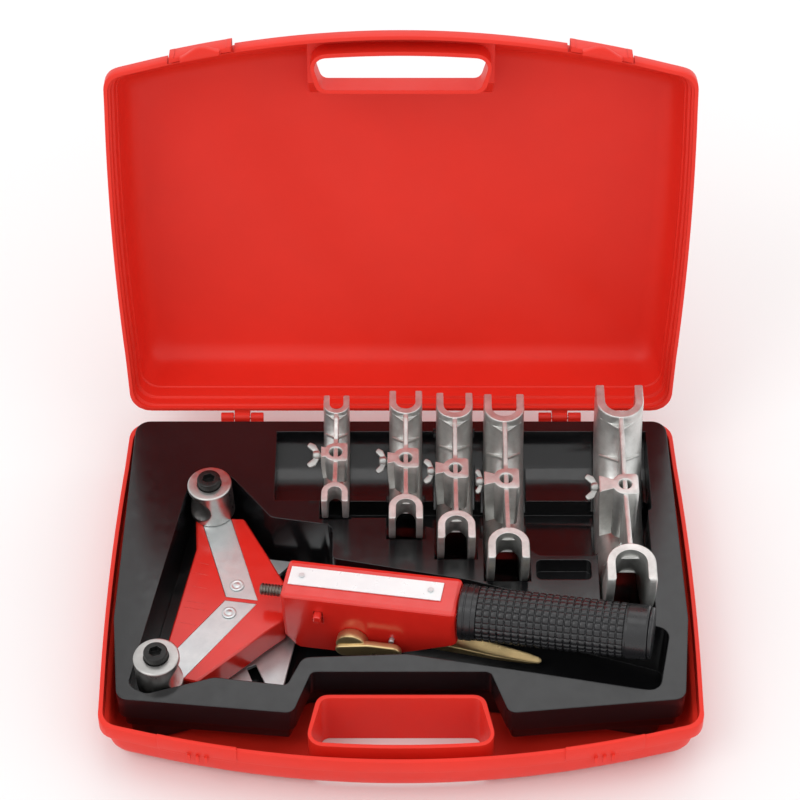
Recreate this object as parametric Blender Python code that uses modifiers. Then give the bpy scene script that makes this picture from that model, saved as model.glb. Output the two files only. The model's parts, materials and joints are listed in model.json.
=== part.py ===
"""A ratchet tube bender with five bending formers, stored in the moulded tray of a carry case.

The frame is metres, +Z up. The origin is the middle of the case's underside, +X runs along the case's
width and +Y towards its hinge. The bender has a frame of its own: +X from its head to its grip.
"""

import math

import bmesh
import bpy
from mathutils import Matrix, Vector

# ---- driving dimensions, in metres -------------------------------------------------------------
GAP = 0.0003

CASE_HALF_WIDTH = 0.2106
CASE_BACK = 0.156
CASE_FRONT = 0.157
CASE_WALL = 0.0028
RIM_HEIGHT = 0.047
CASE_HEIGHT = 0.110
LID_OPEN = math.radians(104.0)
HINGE_Y = 0.1613
HINGE_PIN_RADIUS = 0.0016
HINGE_HALF_LENGTHS = (0.104, 0.136)
LATCH_X = 0.140
LATCH_WIDTH = 0.044
LID_HANDLE = (0.0562, -0.1149)
LID_GRIP_ROOM = (0.0637, -0.1130, 0.0668)
LID_GRIP_SLOPE = 0.68

TRAY_TOP = 0.057
TRAY_WALL = 0.0015
TRAY_FLOOR = 0.0072

BENDER_ORIGIN = (-0.1204, -0.0108, 0.042)
BENDER_YAW = math.radians(-10.6)
BENDER_PITCH = math.radians(-3.0)
PLATE = 0.003
BOX_DEPTH = 0.022
SHOE_X = -0.0335
SHOE_Y = 0.0806
SHOE_RADIUS = 0.0162
SHOE_HEIGHT = 0.030
SCREW_RADIUS = 0.0049
ROD_Z = 0.016
ROD_RADIUS = 0.005
HOUSING_FRONT = 0.040
HOUSING_REAR = 0.166
HOUSING_TOP = 0.032
HOUSING_HALF_WIDTH = 0.017
TRIGGER_PIVOT = (0.120, -0.010)
DRIVE_PAWL_PIVOT = (0.120, 0.004)
HOLDING_PAWL_PIVOT = (0.084, 0.000)
SELECTOR_PIVOT = (0.091, -0.006)
TOOTH_PITCH = 0.0035
GRIP_RADIUS = 0.0193
GRIP_END = 0.299

# tube diameter, place across the case, centre of the arc (y, z), outer radius of the arc
FORMERS = {
    "former_10": (0.010, -0.0478, 0.0945, 0.088, 0.0517),
    "former_14": (0.014, 0.0035, 0.0853, 0.092, 0.0620),
    "former_16": (0.016, 0.0396, 0.0771, 0.090, 0.0700),
    "former_18": (0.018, 0.0762, 0.0655, 0.092, 0.0785),
    "former_22": (0.022, 0.1610, 0.0510, 0.1025, 0.0925),
}
FORMER_SIDE = 0.0062
WING_REACH = 0.0080
WING_REACHES = {"wing_screw_10": 0.0097, "wing_screw_18": 0.0058, "wing_screw_22": 0.0097}
ARC_STEPS = 18

for old in list(bpy.data.objects):
    bpy.data.objects.remove(old)

PARTS = bpy.data.collections.new("tube_bender_set")
HELPERS = bpy.data.collections.new("cutters")
bpy.context.scene.collection.children.link(PARTS)
bpy.context.scene.collection.children.link(HELPERS)


# ---- making and joining --------------------------------------------------------------------------
def make_material(name, colour, roughness, metallic):
    made = bpy.data.materials.new(name)
    made.use_nodes = True
    shader = made.node_tree.nodes["Principled BSDF"]
    shader.inputs["Base Color"].default_value = (*colour, 1.0)
    shader.inputs["Roughness"].default_value = roughness
    shader.inputs["Metallic"].default_value = metallic
    return made


RED_PLASTIC = make_material("red_plastic", (0.78, 0.045, 0.02), 0.42, 0.0)
BLACK_TRAY = make_material("black_tray", (0.012, 0.012, 0.013), 0.22, 0.0)
RED_PAINT = make_material("red_paint", (0.70, 0.03, 0.015), 0.28, 0.0)
ZINC = make_material("zinc_steel", (0.62, 0.64, 0.65), 0.34, 1.0)
CAST_STEEL = make_material("cast_steel", (0.48, 0.48, 0.48), 0.42, 1.0)
BLACK_STEEL = make_material("black_steel", (0.03, 0.03, 0.032), 0.38, 1.0)
DARK_STEEL = make_material("dark_steel", (0.20, 0.19, 0.18), 0.40, 1.0)
BRASS = make_material("yellow_zinc", (0.66, 0.52, 0.28), 0.34, 1.0)
ALUMINIUM = make_material("cast_aluminium", (0.66, 0.66, 0.65), 0.40, 1.0)
BLACK_GRIP = make_material("black_grip", (0.015, 0.015, 0.017), 0.30, 0.0)
LABEL = make_material("silver_label", (0.80, 0.81, 0.82), 0.35, 0.6)


def new_object(name, mesh, material=None, frame=None):
    made = bpy.data.objects.new(name, mesh)
    PARTS.objects.link(made)
    if material:
        mesh.materials.append(material)
    if frame:
        made.parent = frame
    return made


def mesh_from(name, build):
    """A mesh that build(bm) fills, with its faces turned outwards."""
    bm = bmesh.new()
    build(bm)
    bmesh.ops.recalc_face_normals(bm, faces=bm.faces)
    mesh = bpy.data.meshes.new(name)
    bm.to_mesh(mesh)
    bm.free()
    return mesh


def box(name, low, high, material=None, frame=None):
    def build(bm):
        bmesh.ops.create_cube(bm, size=1.0)
        size = [b - a for a, b in zip(low, high)]
        middle = [(a + b) / 2 for a, b in zip(low, high)]
        bmesh.ops.scale(bm, vec=size, verts=bm.verts)
        bmesh.ops.translate(bm, vec=middle, verts=bm.verts)

    return new_object(name, mesh_from(name, build), material, frame)


def rod(name, start, end, radius, material=None, frame=None, sides=24, turn=0.0):
    """A cylinder, or a prism of few sides, between two points."""
    start, end = Vector(start), Vector(end)
    along = end - start

    def build(bm):
        bmesh.ops.create_cone(
            bm, cap_ends=True, segments=sides, radius1=radius, radius2=radius, depth=along.length
        )
        bmesh.ops.rotate(bm, matrix=Matrix.Rotation(turn, 3, "Z"), verts=bm.verts)
        aim = Vector((0, 0, 1)).rotation_difference(along).to_matrix()
        bmesh.ops.rotate(bm, matrix=aim, verts=bm.verts)
        bmesh.ops.translate(bm, vec=(start + end) / 2, verts=bm.verts)

    made = new_object(name, mesh_from(name, build), material, frame)
    if sides > 8:
        made.data.shade_smooth()
        made.data.set_sharp_from_angle(angle=math.radians(40))
    return made


def plate(name, outline, low, high, plane="XY", material=None, frame=None):
    """A flat outline given a thickness from low to high, in the plane XY, XZ or YZ."""
    curve = bpy.data.curves.new(name, "CURVE")
    curve.dimensions = "2D"
    curve.fill_mode = "BOTH"
    curve.extrude = (high - low) / 2
    spline = curve.splines.new("POLY")
    spline.points.add(len(outline) - 1)
    for point, (u, v) in zip(spline.points, outline):
        point.co = (u, v, 0, 1)
    spline.use_cyclic_u = True
    drawn = bpy.data.objects.new(name, curve)
    PARTS.objects.link(drawn)
    graph = bpy.context.evaluated_depsgraph_get()
    mesh = bpy.data.meshes.new_from_object(drawn.evaluated_get(graph))
    bpy.data.objects.remove(drawn)
    middle = (low + high) / 2
    turns = {
        "XY": Matrix.Translation((0, 0, middle)),
        "XZ": Matrix.Translation((0, middle, 0)) @ Matrix.Rotation(math.pi / 2, 4, "X"),
        "YZ": Matrix.Translation((middle, 0, 0))
        @ Matrix.Rotation(math.pi / 2, 4, "Z")
        @ Matrix.Rotation(math.pi / 2, 4, "X"),
    }
    bm = bmesh.new()
    bm.from_mesh(mesh)
    bmesh.ops.remove_doubles(bm, verts=bm.verts, dist=0.000001)
    bmesh.ops.transform(bm, matrix=turns[plane], verts=bm.verts)
    bmesh.ops.recalc_face_normals(bm, faces=bm.faces)
    bm.to_mesh(mesh)
    bm.free()
    mesh.materials.clear()
    return new_object(name, mesh, material, frame)


def turned(name, profile, material=None, frame=None, steps=32, z=0.0, y=0.0):
    """A profile of (place along X, radius), spun about a line parallel to X."""

    def build(bm):
        ring = [bm.verts.new((x, 0, radius)) for x, radius in profile]
        edges = [bm.edges.new(pair) for pair in zip(ring, ring[1:])]
        bmesh.ops.spin(
            bm, geom=ring + edges, cent=(0, 0, 0), axis=(1, 0, 0), angle=2 * math.pi, steps=steps
        )
        bmesh.ops.remove_doubles(bm, verts=bm.verts, dist=0.000001)
        bmesh.ops.translate(bm, vec=(0, y, z), verts=bm.verts)

    made = new_object(name, mesh_from(name, build), material, frame)
    made.data.shade_smooth()
    made.data.set_sharp_from_angle(angle=math.radians(35))
    return made


def loft(name, rings, material=None, frame=None):
    """A closed skin over rings of equal point counts, capped at both ends."""

    def build(bm):
        loops = [[bm.verts.new(point) for point in ring] for ring in rings]
        for low, high in zip(loops, loops[1:]):
            for i, point in enumerate(low):
                j = (i + 1) % len(low)
                bm.faces.new((point, low[j], high[j], high[i]))
        bm.faces.new(list(reversed(loops[0])))
        bm.faces.new(loops[-1])

    return new_object(name, mesh_from(name, build), material, frame)


def helper(made):
    PARTS.objects.unlink(made)
    HELPERS.objects.link(made)
    made.hide_render = True
    made.display_type = "WIRE"
    return made


def combine(target, others, operation):
    for other in others:
        step = target.modifiers.new(other.name, "BOOLEAN")
        step.operation = operation
        step.object = helper(other)
        step.solver = "EXACT"
    return target


def cut(target, *others):
    return combine(target, others, "DIFFERENCE")


def join(target, *others):
    return combine(target, others, "UNION")


def soften(target, width, segments=2):
    step = target.modifiers.new("rounded_edges", "BEVEL")
    step.width = width
    step.segments = segments
    step.limit_method = "ANGLE"
    step.angle_limit = math.radians(40)
    return target


def axis_frame(name, place, parent=None):
    """An empty on a joint's axis."""
    made = bpy.data.objects.new(name, None)
    PARTS.objects.link(made)
    made.location = place
    made.parent = parent
    return made


def on_axis(made, frame):
    """Hangs a piece, drawn in the frame's parent's coordinates, on the frame."""
    made.parent = frame
    made.location = -frame.location
    return made


def rounded(corners, steps=4):
    """An outline from corners (x, y, radius), each rounded by an arc of its radius."""
    points = []
    count = len(corners)
    for i, (x, y, radius) in enumerate(corners):
        here = Vector((x, y))
        if radius == 0:
            points.append((x, y))
            continue
        before = (Vector(corners[i - 1][:2]) - here).normalized()
        after = (Vector(corners[(i + 1) % count][:2]) - here).normalized()
        half = before.angle(after) / 2
        reach = radius / math.tan(half)
        centre = here + (before + after).normalized() * radius / math.sin(half)
        start, end = here + before * reach - centre, here + after * reach - centre
        turn = start.angle_signed(end)
        for step in range(steps + 1):
            arm = start.copy()
            arm.rotate(Matrix.Rotation(-turn * step / steps, 2))
            points.append(tuple(centre + arm))
    return points


# ---- the case -------------------------------------------------------------------------------------
def front_edge(x):
    """The front edge bows out from the corners to the middle."""
    return -CASE_FRONT + 0.029 * (x / 0.199) ** 2


def case_outline():
    half = [(0.055 * i, front_edge(0.055 * i), 0) for i in range(4)]
    half += [(0.2094, -0.1256, 0.013), (CASE_HALF_WIDTH, -0.040, 0), (0.2092, 0.030, 0)]
    half += [(0.2064, 0.098, 0), (0.2036, CASE_BACK, 0.015)]
    full = half + [(-x, y, radius) for x, y, radius in reversed(half) if x > 0]
    return rounded(full)


def case_rings(levels):
    """Rings at (height, inset): an inset moves the sides, front and back in by that much."""
    return [
        [
            (x * (1 - inset / CASE_HALF_WIDTH), y * (1 - inset / CASE_BACK), height)
            for x, y in case_outline()
        ]
        for height, inset in levels
    ]


def lid_rings(levels):
    """The case's rings with a front that leans back above the lid's straight band."""
    made = []
    for ring in case_rings(levels):
        lean = min(max(ring[0][2] - 0.0585, 0) * 0.62, 0.0225)
        made.append([(x, y + lean * max(-y, 0) / CASE_FRONT, z) for x, y, z in ring])
    return made


def handle_outline(grow, half_width=0.0550, back=-0.1023):
    half = [(0.0, -0.1418 - grow, 0), (0.0635 + grow, -0.1390 - grow, 0.007)]
    half += [(half_width + grow, back + grow, 0.006)]
    full = half + [(-x, y, radius) for x, y, radius in reversed(half) if x > 0]
    return rounded(full, 3)


def make_hinge_knuckles(name, z_low, z_high, spans):
    """Barrels on the hinge line, each with a foot that reaches back to the rim."""
    made = []
    for i, (x0, x1) in enumerate(spans):
        barrel = rod(f"{name}_{i}", (x0, HINGE_Y, RIM_HEIGHT), (x1, HINGE_Y, RIM_HEIGHT), 0.0036, sides=16)
        foot = box(
            f"{name}_foot_{i}", (x0 + 0.0001, CASE_BACK - 0.002, z_low), (x1 - 0.0001, HINGE_Y, z_high)
        )
        made += [barrel, foot]
    return made


def make_hinge_bores(name):
    low, high = HINGE_HALF_LENGTHS
    reach = 0.002
    made = []
    for side, s in (("left", -1), ("right", 1)):
        start, end = (s * (low - reach), HINGE_Y, RIM_HEIGHT), (s * (high + reach), HINGE_Y, RIM_HEIGHT)
        made.append(rod(f"{name}_{side}", start, end, HINGE_PIN_RADIUS + GAP, sides=16))
    return made


def hinge_room(name, spans):
    """Room round the other half's barrels."""
    made = []
    for i, (x0, x1) in enumerate(spans):
        start, end = (x0 - GAP, HINGE_Y, RIM_HEIGHT), (x1 + GAP, HINGE_Y, RIM_HEIGHT)
        made.append(rod(f"{name}_{i}", start, end, 0.0042, sides=16))
    return made


def knuckle_spans(places):
    """The hinge's knuckles on both sides: places are shares of its length."""
    low, high = HINGE_HALF_LENGTHS
    spans = []
    for first, last in places:
        a = low + (high - low) * first
        b = low + (high - low) * last
        spans += [(a, b), (-b, -a)]
    return spans


def latch_zone(name, x, low, high, depth, reach, half):
    """A block that follows the front edge around x, from reach in front of it to depth behind it."""
    slope = (front_edge(x + 0.01) - front_edge(x - 0.01)) / 0.02
    outline = []
    for side, offset in ((-1, -reach), (1, -reach), (1, depth), (-1, depth)):
        px = x + side * half
        outline.append((px, front_edge(x) + slope * side * half + offset))
    return plate(name, outline, low, high)


def make_case_base():
    outer = [(0.0, 0.022), (0.003, 0.0155), (0.009, 0.0095), (0.018, 0.0060), (0.0335, 0.0042)]
    outer += [(0.0345, 0.0), (RIM_HEIGHT, 0.0)]
    inner = [(0.003, 0.0215), (0.006, 0.0155), (0.011, 0.0112), (0.019, 0.0086), (0.033, 0.0070)]
    inner += [(0.036, 0.0034), (RIM_HEIGHT + 0.001, 0.0032)]
    base = loft("case_base", case_rings(outer), RED_PLASTIC)
    cavity = loft("base_cavity", case_rings(inner))
    cut(cavity, plate("base_collar", handle_outline(0.0032), -0.01, 0.06))
    cut(base, cavity, plate("base_handle_hole", handle_outline(0.0), -0.01, 0.06))
    for side, s in (("left", -1), ("right", 1)):
        top = RIM_HEIGHT + 0.0022
        lip = latch_zone(f"catch_lip_{side}", s * LATCH_X, 0.036, top, 0.0028, 0.0006, 0.0275)
        join(base, lip)
        for i in range(3):
            x = s * (LATCH_X - 0.006 + 0.006 * i)
            join(base, latch_zone(f"catch_rib_{side}_{i}", x, 0.0345, 0.0372, 0.001, 0.0024, 0.0012))
    outer_spans = knuckle_spans([(0.0, 0.3), (0.7, 1.0)])
    join(base, *make_hinge_knuckles("base_knuckle", 0.040, RIM_HEIGHT - GAP, outer_spans))
    room = hinge_room("base_hinge_room", knuckle_spans([(0.3, 0.7)]))
    return cut(base, *room, *make_hinge_bores("base_hinge_bore"))


def grip_room_outline(back, shelf):
    """Room for fingers outside the lid's handle, with a back that slopes away from the hole."""
    top = 0.12
    return [(-0.2, shelf), (back, shelf), (back + LID_GRIP_SLOPE * (top - shelf), top), (-0.2, top)]


def make_lid(hinge):
    start = RIM_HEIGHT + GAP
    outer = [(start, 0.0), (0.0575, 0.0), (0.0585, 0.0026), (0.085, 0.0042), (0.098, 0.0066)]
    outer += [(0.105, 0.0105), (0.109, 0.0165), (CASE_HEIGHT, 0.0215)]
    inner = [(start - 0.001, 0.0032), (0.0565, 0.0034), (0.060, 0.0052), (0.085, 0.0068), (0.098, 0.0092)]
    inner += [(0.1035, 0.0122), (0.1063, 0.0172), (0.1072, 0.0215)]
    lid = loft("case_lid", lid_rings(outer), RED_PLASTIC)
    cavity = loft("lid_cavity", lid_rings(inner))
    width, back, shelf = LID_GRIP_ROOM
    reach = width + CASE_WALL
    grip_room = plate("lid_grip_room", grip_room_outline(back, shelf), -width, width, "YZ")
    outline = grip_room_outline(back + 0.0010, shelf - CASE_WALL)
    grip_wall = plate("lid_grip_wall", outline, -reach, reach, "YZ")
    cut(cavity, grip_wall, plate("lid_collar", handle_outline(0.0032, *LID_HANDLE), 0.03, 0.12))
    cut(lid, cavity, grip_room, plate("lid_handle_hole", handle_outline(0.0, *LID_HANDLE), 0.03, 0.12))
    for side, s in (("left", -1), ("right", 1)):
        x, top = s * LATCH_X, RIM_HEIGHT + 0.0030
        cut(lid, latch_zone(f"lid_catch_notch_{side}", x, 0.04, top, 0.01, 0.004, 0.0285))
        cut(lid, latch_zone(f"lid_latch_notch_{side}", x, 0.04, 0.0600, 0.0024, 0.006, 0.0232))
    spans = knuckle_spans([(0.3, 0.7)])
    middle = [(x0 + 2 * GAP, x1 - 2 * GAP) for x0, x1 in spans]
    join(lid, *make_hinge_knuckles("lid_knuckle", RIM_HEIGHT + GAP, 0.0545, middle))
    outer_spans = knuckle_spans([(0.0, 0.3), (0.7, 1.0)])
    cut(lid, *hinge_room("lid_hinge_room", outer_spans), *make_hinge_bores("lid_hinge_bore"))
    return on_axis(lid, hinge)


def make_hinge_pins():
    low, high = HINGE_HALF_LENGTHS
    for side, s in (("left", -1), ("right", 1)):
        start, end = (s * (low + 0.0005), HINGE_Y, RIM_HEIGHT), (s * (high - 0.0005), HINGE_Y, RIM_HEIGHT)
        rod(f"hinge_pin_{side}", start, end, HINGE_PIN_RADIUS, ZINC, sides=16)


def make_latch(side, s, hinge):
    """A snap latch: a plate that hangs in the lid's front edge, with a thumb tab and a hook."""
    x = s * LATCH_X
    place = Vector((x, front_edge(x) + 0.0004, 0.0552))
    frame = axis_frame(f"latch_hinge_{side}", place - hinge.location, hinge)
    latch = latch_zone(f"latch_{side}", x, 0.0415, 0.0562, 0.0016, 0.0050, LATCH_WIDTH / 2)
    latch.data.materials.append(RED_PLASTIC)
    tab = latch_zone(f"latch_tab_{side}", x, 0.0378, 0.0430, -0.0010, 0.0095, 0.0130)
    room = latch_zone(f"latch_room_{side}", x, 0.030, RIM_HEIGHT + 0.0026, 0.01, 0.0010, 0.05)
    join(latch, tab)
    cut(latch, room)
    for piece in (latch, tab, room):
        piece.parent = frame
        piece.location = -place


# ---- the tray -------------------------------------------------------------------------------------
def tray_outline(inset):
    half = [(0.0623 + inset, -0.0868 + inset, 0.004), (0.0745 + inset, -0.1222 + inset, 0.006)]
    half += [(0.1965 - inset, -0.1100 + inset, 0.007), (0.2028 - inset, -0.040, 0)]
    half += [(0.1985 - inset, 0.1480 - inset, 0.010)]
    full = half + [(-x, y, radius) for x, y, radius in reversed(half)]
    return rounded(full, 4)


def tool_pocket(grow):
    """The pocket that holds the bender, with finger room behind its housing."""
    corners = [(-0.1895, -0.0990), (-0.1760, -0.1060), (-0.1298, -0.0917), (-0.0789, -0.0986)]
    corners += [(-0.0684, -0.0743), (0.0042, -0.0712), (0.0911, -0.0872), (0.1791, -0.1040)]
    corners += [(0.1896, -0.0500), (0.0490, -0.0050), (-0.0494, 0.0150), (-0.0494, 0.0461)]
    corners += [(-0.0947, 0.0537), (-0.1270, 0.0953), (-0.1555, 0.0894)]
    return offset_outline(corners, grow)


def offset_outline(corners, grow):
    """Moves each side of an anticlockwise outline out by grow."""
    moved = []
    count = len(corners)
    for i, corner in enumerate(corners):
        here = Vector(corner)
        before = (here - Vector(corners[i - 1])).normalized()
        after = (Vector(corners[(i + 1) % count]) - here).normalized()
        out_before = Vector((before.y, -before.x))
        out_after = Vector((after.y, -after.x))
        share = grow / (1 + out_before.dot(out_after))
        moved.append(tuple(here + (out_before + out_after) * share))
    return moved


def former_width(diameter):
    return diameter * 1.3 + FORMER_SIDE


def slot_outline(centre_y, centre_z, radius, top):
    """The part of a round slot below top, in the plane YZ."""
    reach = math.acos((centre_z - top) / radius)
    angles = [-reach + 2 * reach * i / 16 for i in range(17)]
    return [(centre_y + radius * math.sin(a), centre_z - radius * math.cos(a)) for a in angles]


def tray_hollows(grow, top):
    """Every hollow of the tray as a solid, grown by grow. Each runs up to top."""
    made = [plate("tool_pocket", tool_pocket(grow), TRAY_FLOOR - grow, top)]
    ledge = [(0.070, 0.030 - grow), (0.110, 0.030 - grow), (0.1225 + grow * 0.7, 0.034 - grow * 0.7)]
    ledge += [(0.1310 + grow, 0.042), (0.1360 + grow, 0.051), (0.1375 + grow, top), (0.070, top)]
    made.append(plate("finger_trough", ledge, -0.093 - grow, 0.183 + grow, "YZ"))
    deep = [(-0.093, 0.071), (-0.060, 0.071), (-0.036, 0.053), (-0.010, 0.053), (0.092, 0.024)]
    deep += [(0.100, 0.018), (0.142, 0.018), (0.148, 0.060), (0.183, 0.060), (0.183, 0.092), (-0.093, 0.092)]
    made.append(plate("trough_well", offset_outline(deep, grow), 0.014 - grow, top))
    low, high = (0.097 - grow, -0.0045 - grow, 0.044 - grow), (0.1365 + grow, 0.0135 + grow, top)
    made.append(box("small_recess", low, high))
    for name, (diameter, x, y, z, radius) in FORMERS.items():
        half = former_width(diameter) / 2 + 0.0020 + grow
        outline = slot_outline(y, z, radius + 0.0012 + grow, top)
        made.append(plate(f"{name}_slot", outline, x - half, x + half, "YZ"))
    return made


def make_tray():
    """A sheet drawn over the pockets: a cap with a skirt, walls joined on, their insides cut."""
    step, set_in = 0.0355, 0.0045
    tray = plate("tray", tray_outline(0.0), step, TRAY_TOP, material=BLACK_TRAY)
    join(tray, plate("tray_skirt", tray_outline(set_in), 0.0220, step + 0.001))
    upper = plate("tray_underside", tray_outline(TRAY_WALL), step + TRAY_WALL, TRAY_TOP - TRAY_WALL)
    cut(tray, upper, plate("skirt_inside", tray_outline(set_in + TRAY_WALL), 0.02, step + 0.003))
    join(tray, *tray_hollows(TRAY_WALL, TRAY_TOP - 0.0004))
    return cut(tray, *tray_hollows(0.0, TRAY_TOP + 0.004))


# ---- the bender's head ----------------------------------------------------------------------------
def arm_outline(side, grow):
    """A flat bar from the middle of the head out under its shoe."""
    along = Vector((SHOE_X - 0.006, SHOE_Y - 0.0018)).normalized()
    across = Vector((along.y, -along.x))
    half = 0.0103 + grow
    end = Vector((SHOE_X, SHOE_Y)) + along * (0.0105 + grow)
    inner = 0.0018 - grow
    width = half / across.x
    corners = [(0.006 + width, inner, 0), (*(end + across * half), 0.005), (*(end - across * half), 0.005)]
    corners += [(0.006 - width, inner, 0)]
    points = rounded(corners, 3)
    return points if side > 0 else [(x, -y) for x, y in reversed(points)]


def head_outline(inset):
    corners = [(0.0397, -0.013), (0.0397, 0.013), (0.029, 0.026), (0.016, 0.0435), (-0.009, 0.076)]
    corners += [(-0.045, 0.0725), (-0.0375, 0.043), (-0.0375, -0.043), (-0.045, -0.0725), (-0.009, -0.076)]
    corners += [(0.016, -0.0435), (0.029, -0.026)]
    return offset_outline(corners, -inset)


def bore(name, x, y, low, high, radius, frame=None):
    return rod(name, (x, y, low), (x, y, high), radius, frame=frame, sides=20)


def make_head(frame):
    box_top = plate("head_box", head_outline(0.0), -BOX_DEPTH, 0.0, material=RED_PAINT, frame=frame)
    soften(box_top, 0.0012, 1)
    sides = (("back", 1), ("front", -1))
    for side, s in sides:
        cavity = [(0.028, 0.009), (0.022, 0.026), (0.011, 0.0415), (-0.012, 0.0705), (-0.039, 0.0675)]
        cavity += [(-0.0325, 0.042), (-0.0325, 0.009)]
        cavity = cavity if s > 0 else [(x, -y) for x, y in reversed(cavity)]
        recess = plate(f"arm_recess_{side}", arm_outline(s, GAP), -PLATE - GAP, 0.01, frame=frame)
        hollow = plate(f"wing_hollow_{side}", cavity, -0.03, -0.0075, frame=frame)
        cut(box_top, recess, hollow, bore(f"rivet_hole_{side}", 0.0, s * 0.0127, -0.02, 0.01, 0.0033, frame))
        for layer, low in (("top", -PLATE), ("bottom", -BOX_DEPTH - GAP - PLATE)):
            high = low + PLATE
            arm = plate(f"{layer}_arm_{side}", arm_outline(s, 0), low, high, material=ZINC, frame=frame)
            hole = SCREW_RADIUS + 0.0004
            cut(arm, bore(f"{layer}_arm_hole_{side}", SHOE_X, s * SHOE_Y, -0.05, 0.05, hole, frame))
            if layer == "top":
                cut(arm, bore(f"arm_rivet_hole_{side}", 0.0, s * 0.0127, -0.05, 0.05, 0.0033, frame))
        rivet = bore(f"arm_rivet_{side}", 0.0, s * 0.0127, -0.0095, 0.0006, 0.003, frame)
        rivet.data.materials.append(ZINC)
        join(rivet, bore(f"rivet_head_{side}", 0.0, s * 0.0127, GAP, 0.0011, 0.0052, frame))
    under = [(0.046, -0.061), (0.046, 0.061), (0.039, 0.061), (0.0225, 0.036), (0.0165, 0.040)]
    under.append((0.029, 0.061))
    under += [(-0.004, 0.061), (-0.027, 0.032), (-0.027, -0.032), (-0.004, -0.061), (0.029, -0.061)]
    under += [(0.0165, -0.040), (0.0225, -0.036), (0.039, -0.061)]
    low = -BOX_DEPTH - 2 * PLATE - 2 * GAP
    brace = plate("under_plate", under, low, low + PLATE, material=ZINC, frame=frame)
    for name, x in (("front", -0.020), ("rear", 0.033)):
        cut(brace, bore(f"brace_hole_{name}", x, 0, -0.05, 0, 0.0033, frame))
        cut(box_top, bore(f"box_thread_{name}", x, 0, -0.05, -0.010, 0.0031, frame))
        bolt = bore(f"frame_bolt_{name}", x, 0, low - 0.0010, -0.0105, 0.0028, frame)
        bolt.data.materials.append(ZINC)
        start, end = (x, 0, low - 0.0035), (x, 0, low - GAP)
        join(bolt, rod(f"bolt_head_{name}", start, end, 0.0052, frame=frame, sides=6))


def make_shoe(side, s, groove, frame):
    """A guide shoe: a post with a half-round groove for the tube, free to turn on its screw."""
    x, y = SHOE_X, s * SHOE_Y
    pivot = axis_frame(f"shoe_axis_{side}", (x, y, 0), frame)
    shoe = rod(f"shoe_{side}", (x, y, GAP), (x, y, SHOE_HEIGHT), SHOE_RADIUS, CAST_STEEL, sides=32)
    away = Vector((math.cos(groove), math.sin(groove), 0))
    along = Vector((-away.y, away.x, 0))
    middle = Vector((x, y, SHOE_HEIGHT / 2)) + away * 0.0190
    channel = rod(f"shoe_groove_{side}", middle - along * 0.03, middle + along * 0.03, 0.011, sides=28)
    holes = [bore(f"shoe_bore_{side}", x, y, -0.01, 0.028, SCREW_RADIUS + 0.0004)]
    holes.append(bore(f"shoe_counterbore_{side}", x, y, SHOE_HEIGHT - 0.004, 0.05, 0.0089))
    cut(shoe, channel, *holes)
    on_axis(shoe, pivot)
    for piece in (channel, *holes):
        on_axis(piece, pivot)
    top = SHOE_HEIGHT - 0.004 + GAP
    low = -BOX_DEPTH - PLATE - GAP
    screw = bore(f"shoe_screw_{side}", x, y, low - 0.0062, top + 0.001, SCREW_RADIUS, frame)
    screw.data.materials.append(BLACK_STEEL)
    join(screw, bore(f"screw_head_{side}", x, y, top, SHOE_HEIGHT + 0.006, 0.0085, frame))
    start, end = (x, y, SHOE_HEIGHT + 0.001), (x, y, 0.05)
    socket = rod(f"screw_socket_{side}", start, end, 0.0046, frame=frame, sides=6)
    cut(screw, socket)
    tube = bore(f"shoe_spacer_{side}", x, y, -BOX_DEPTH, -PLATE - GAP, 0.0064, frame)
    tube.data.materials.append(ZINC)
    cut(tube, bore(f"spacer_bore_{side}", x, y, -0.05, 0.05, SCREW_RADIUS + 0.0003, frame))
    nut = rod(f"shoe_nut_{side}", (x, y, low - 0.006), (x, y, low - GAP), 0.0085, ZINC, frame, sides=6)
    cut(nut, bore(f"nut_bore_{side}", x, y, -0.05, 0.05, SCREW_RADIUS + 0.0002, frame))


# ---- the bender's body ----------------------------------------------------------------------------
def cross_rod(name, place, low, high, radius, material=None, frame=None, sides=20):
    """A rod along Y at the place (x, z)."""
    x, z = place
    return rod(name, (x, low, z), (x, high, z), radius, material, frame, sides)


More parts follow.
